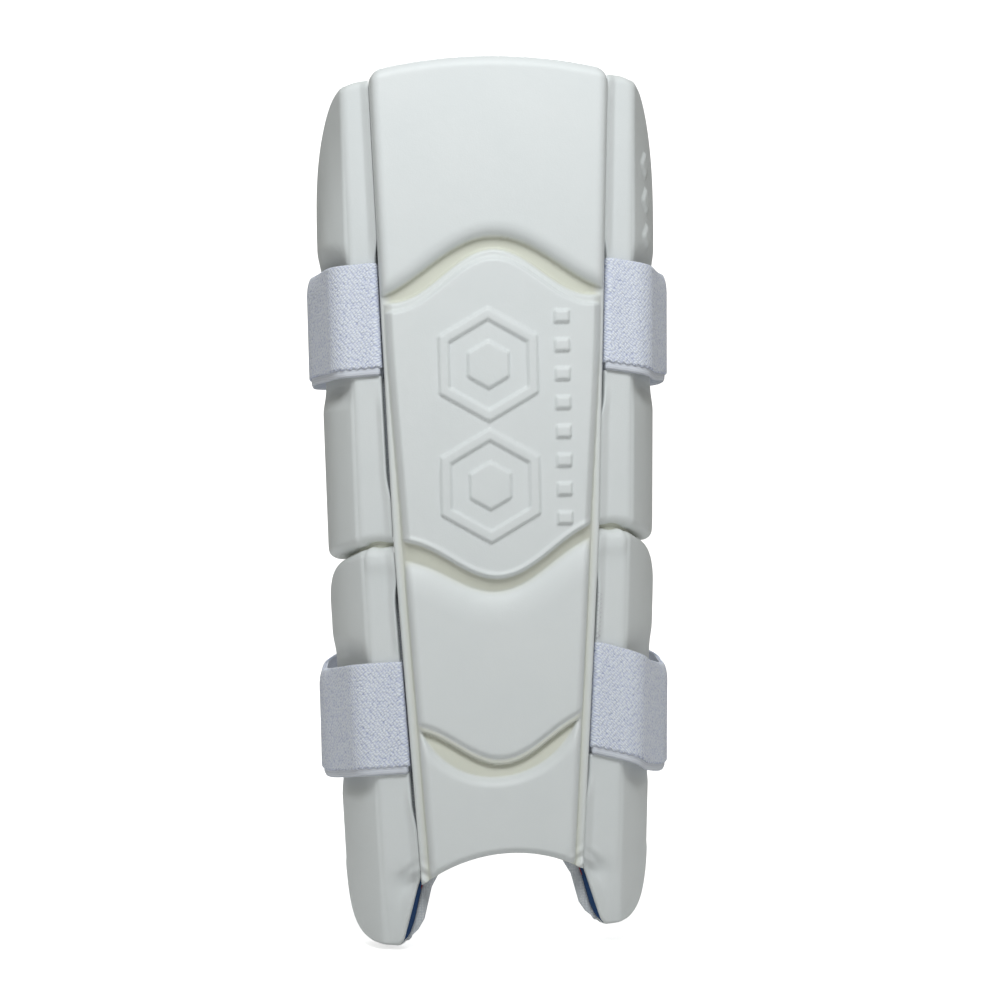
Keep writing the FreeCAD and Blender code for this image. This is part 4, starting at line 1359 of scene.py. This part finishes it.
def applied(obj):
    """Replaces the object's mesh by what its modifiers make of it."""
    graph = bpy.context.evaluated_depsgraph_get()
    graph.update()
    mesh = bpy.data.meshes.new_from_object(obj.evaluated_get(graph))
    obj.modifiers.clear()
    obj.data = mesh


def points_of(mesh):
    flat = np.zeros(len(mesh.vertices) * 3)
    mesh.vertices.foreach_get("co", flat)
    return flat.reshape(-1, 3)


def swollen(obj, voxel, slack, cap):
    """Fills the form as stuffing would: cloth under pressure, sewn down where it meets the
    lining, with a little spare cloth that puckers there."""
    remesh = obj.modifiers.new("remesh", "REMESH")
    remesh.mode = "VOXEL"
    remesh.voxel_size = voxel
    applied(obj)
    rest = points_of(obj.data)
    sewn = [i for i, p in enumerate(rest) if p[1] < LINING_Y + 1.0 * MM]
    obj.vertex_groups.new(name="sewn").add(sewn, 1.0, "REPLACE")
    cloth = obj.modifiers.new("cloth", "CLOTH")
    cloth.settings.quality = 6
    cloth.settings.mass = 0.25
    cloth.settings.use_pressure = True
    cloth.settings.uniform_pressure_force = 4.0
    cloth.settings.shrink_min = -slack
    cloth.settings.vertex_group_mass = "sewn"
    cloth.settings.effector_weights.gravity = 0.0
    for step in range(1, 21):
        bpy.context.scene.frame_set(step)
    applied(obj)
    moved = points_of(obj.data) - rest
    far = np.linalg.norm(moved, axis=1, keepdims=True)
    final = rest + moved * np.minimum(1.0, cap / np.maximum(far, 1e-9))
    final[:, 1] = np.maximum(final[:, 1], SEAT_Y)
    obj.data.vertices.foreach_set("co", final.reshape(-1))
    bpy.context.scene.frame_set(1)
    obj.vertex_groups.clear()
    obj.modifiers.new("smooth", "SUBSURF").levels = 1
    applied(obj)
    obj.data.shade_smooth()


def welt(name, centre, radii, squareness, body):
    """The cord sewn round the foot of a roll."""
    angle = np.linspace(0, 2 * math.pi, 150)
    x = centre[0] + (radii[0] + 0.6 * MM) * squared(np.cos(angle), squareness)
    z = centre[2] + (radii[2] + 0.6 * MM) * squared(np.sin(angle), squareness)
    obj = tube_object(name, [xyz(x, LINING_Y + 0.7 * MM, z)], 0.9 * MM, NAVY)
    fasten(obj, body, "piping")


def make_rolls():
    """Two rolls and a cushion seat the knee, and three bolsters stand on the shin."""
    for node in ("knee_roll_upper", "knee_roll_lower", "knee_cushion", "shin_bolster_left",
                 "shin_bolster_middle", "shin_bolster_right"):
        body = node.split("_")[0] + "_section"
        low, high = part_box(node)
        centre = (low + high) / 2
        half = (high - low) / 2
        squareness = 0.35 if node == "knee_cushion" else 0.45
        radii = [reach - SEAM for reach in (half[0], high[1] - LINING_Y, half[2])]
        seat = (centre[0], LINING_Y, centre[2])
        obj = stuffed_seed(f"{node}_padding", seat, radii, squareness, PADDING)
        swollen(obj, 3.5 * MM, 0.10, 5 * MM)
        fasten(obj, body, "padding", node)
        welt(f"{node}_welt", seat, radii, squareness, body)


# ---- camera, light and floor -----------------------------------------------------------
def make_camera(scene):
    camera = bpy.data.objects.new("camera", bpy.data.cameras.new("camera"))
    scene.collection.objects.link(camera)
    scene.camera = camera
    target = Vector((5.0 * MM, -40 * MM, 27 * MM))
    distance, azimuth, roll = 1.55, math.radians(-2.8), math.radians(1.0)
    camera.location = target + distance * Vector((math.sin(azimuth), -math.cos(azimuth), 0.0))
    ahead = (target - camera.location).normalized()
    camera.rotation_mode = "QUATERNION"
    camera.rotation_quaternion = Quaternion(ahead, roll) @ ahead.to_track_quat("-Z", "Y")
    sensor, to_straps, wide = 36.0, distance - 0.045, 0.697      # wide is what it sees there, in metres
    camera.data.sensor_width = sensor
    camera.data.lens = sensor * to_straps / wide


def make_floor():
    """A pale sweep: a floor that turns up into a backdrop far behind."""
    floor_z = cad_box[0][2] - 2 * MM
    near, bend, far, wide, high = -3.5, 2.2, 3.4, 5.0, 5.0
    turn = np.linspace(0, math.pi / 2, 12)
    radius = far - bend
    profile = [(near, floor_z)]
    profile += [(bend + radius * math.sin(a), floor_z + radius * (1 - math.cos(a))) for a in turn]
    profile.append((far, high))
    rows = np.array([[(x, y, z) for x in (-wide, wide)] for y, z in profile])
    index = np.arange(rows.shape[0] * 2).reshape(-1, 2)
    floor = mesh_object("floor", rows.reshape(-1, 3), quads(index), floor_material())
    glow_lights = bpy.data.collections.new("lit_by_floor_glow")
    glow_lights.objects.link(floor)
    floor.light_linking.receiver_collection = glow_lights


def make_lights(scene):
    world = bpy.data.worlds.new("studio")
    scene.world = world
    world.use_nodes = True
    fill = world.node_tree.nodes["Background"].inputs
    fill["Color"].default_value = rgb(1.0, 0.99, 0.90)
    fill["Strength"].default_value = 0.25
    for name, place, size, power in (("key", (0.0, -1.0, 0.98), 0.6, 11.6),
                                     ("back", (0.0, 1.1, 1.0), 0.7, 9.0)):
        lamp = bpy.data.lights.new(name, "AREA")
        lamp.shape, lamp.size, lamp.energy = "SQUARE", size, power
        lamp.color = (0.96, 0.99, 1.0)
        obj = bpy.data.objects.new(name, lamp)
        obj.location = place
        obj.rotation_mode = "QUATERNION"
        obj.rotation_quaternion = (Vector((0, 0, 0.02)) - Vector(place)).to_track_quat("-Z", "Y")
        scene.collection.objects.link(obj)
    scene.view_settings.view_transform = "Standard"


make_column()
make_wings()
for strap_level in LEVELS:
    make_strap(strap_level)
make_rolls()
make_camera(bpy.context.scene)
make_floor()
make_lights(bpy.context.scene)
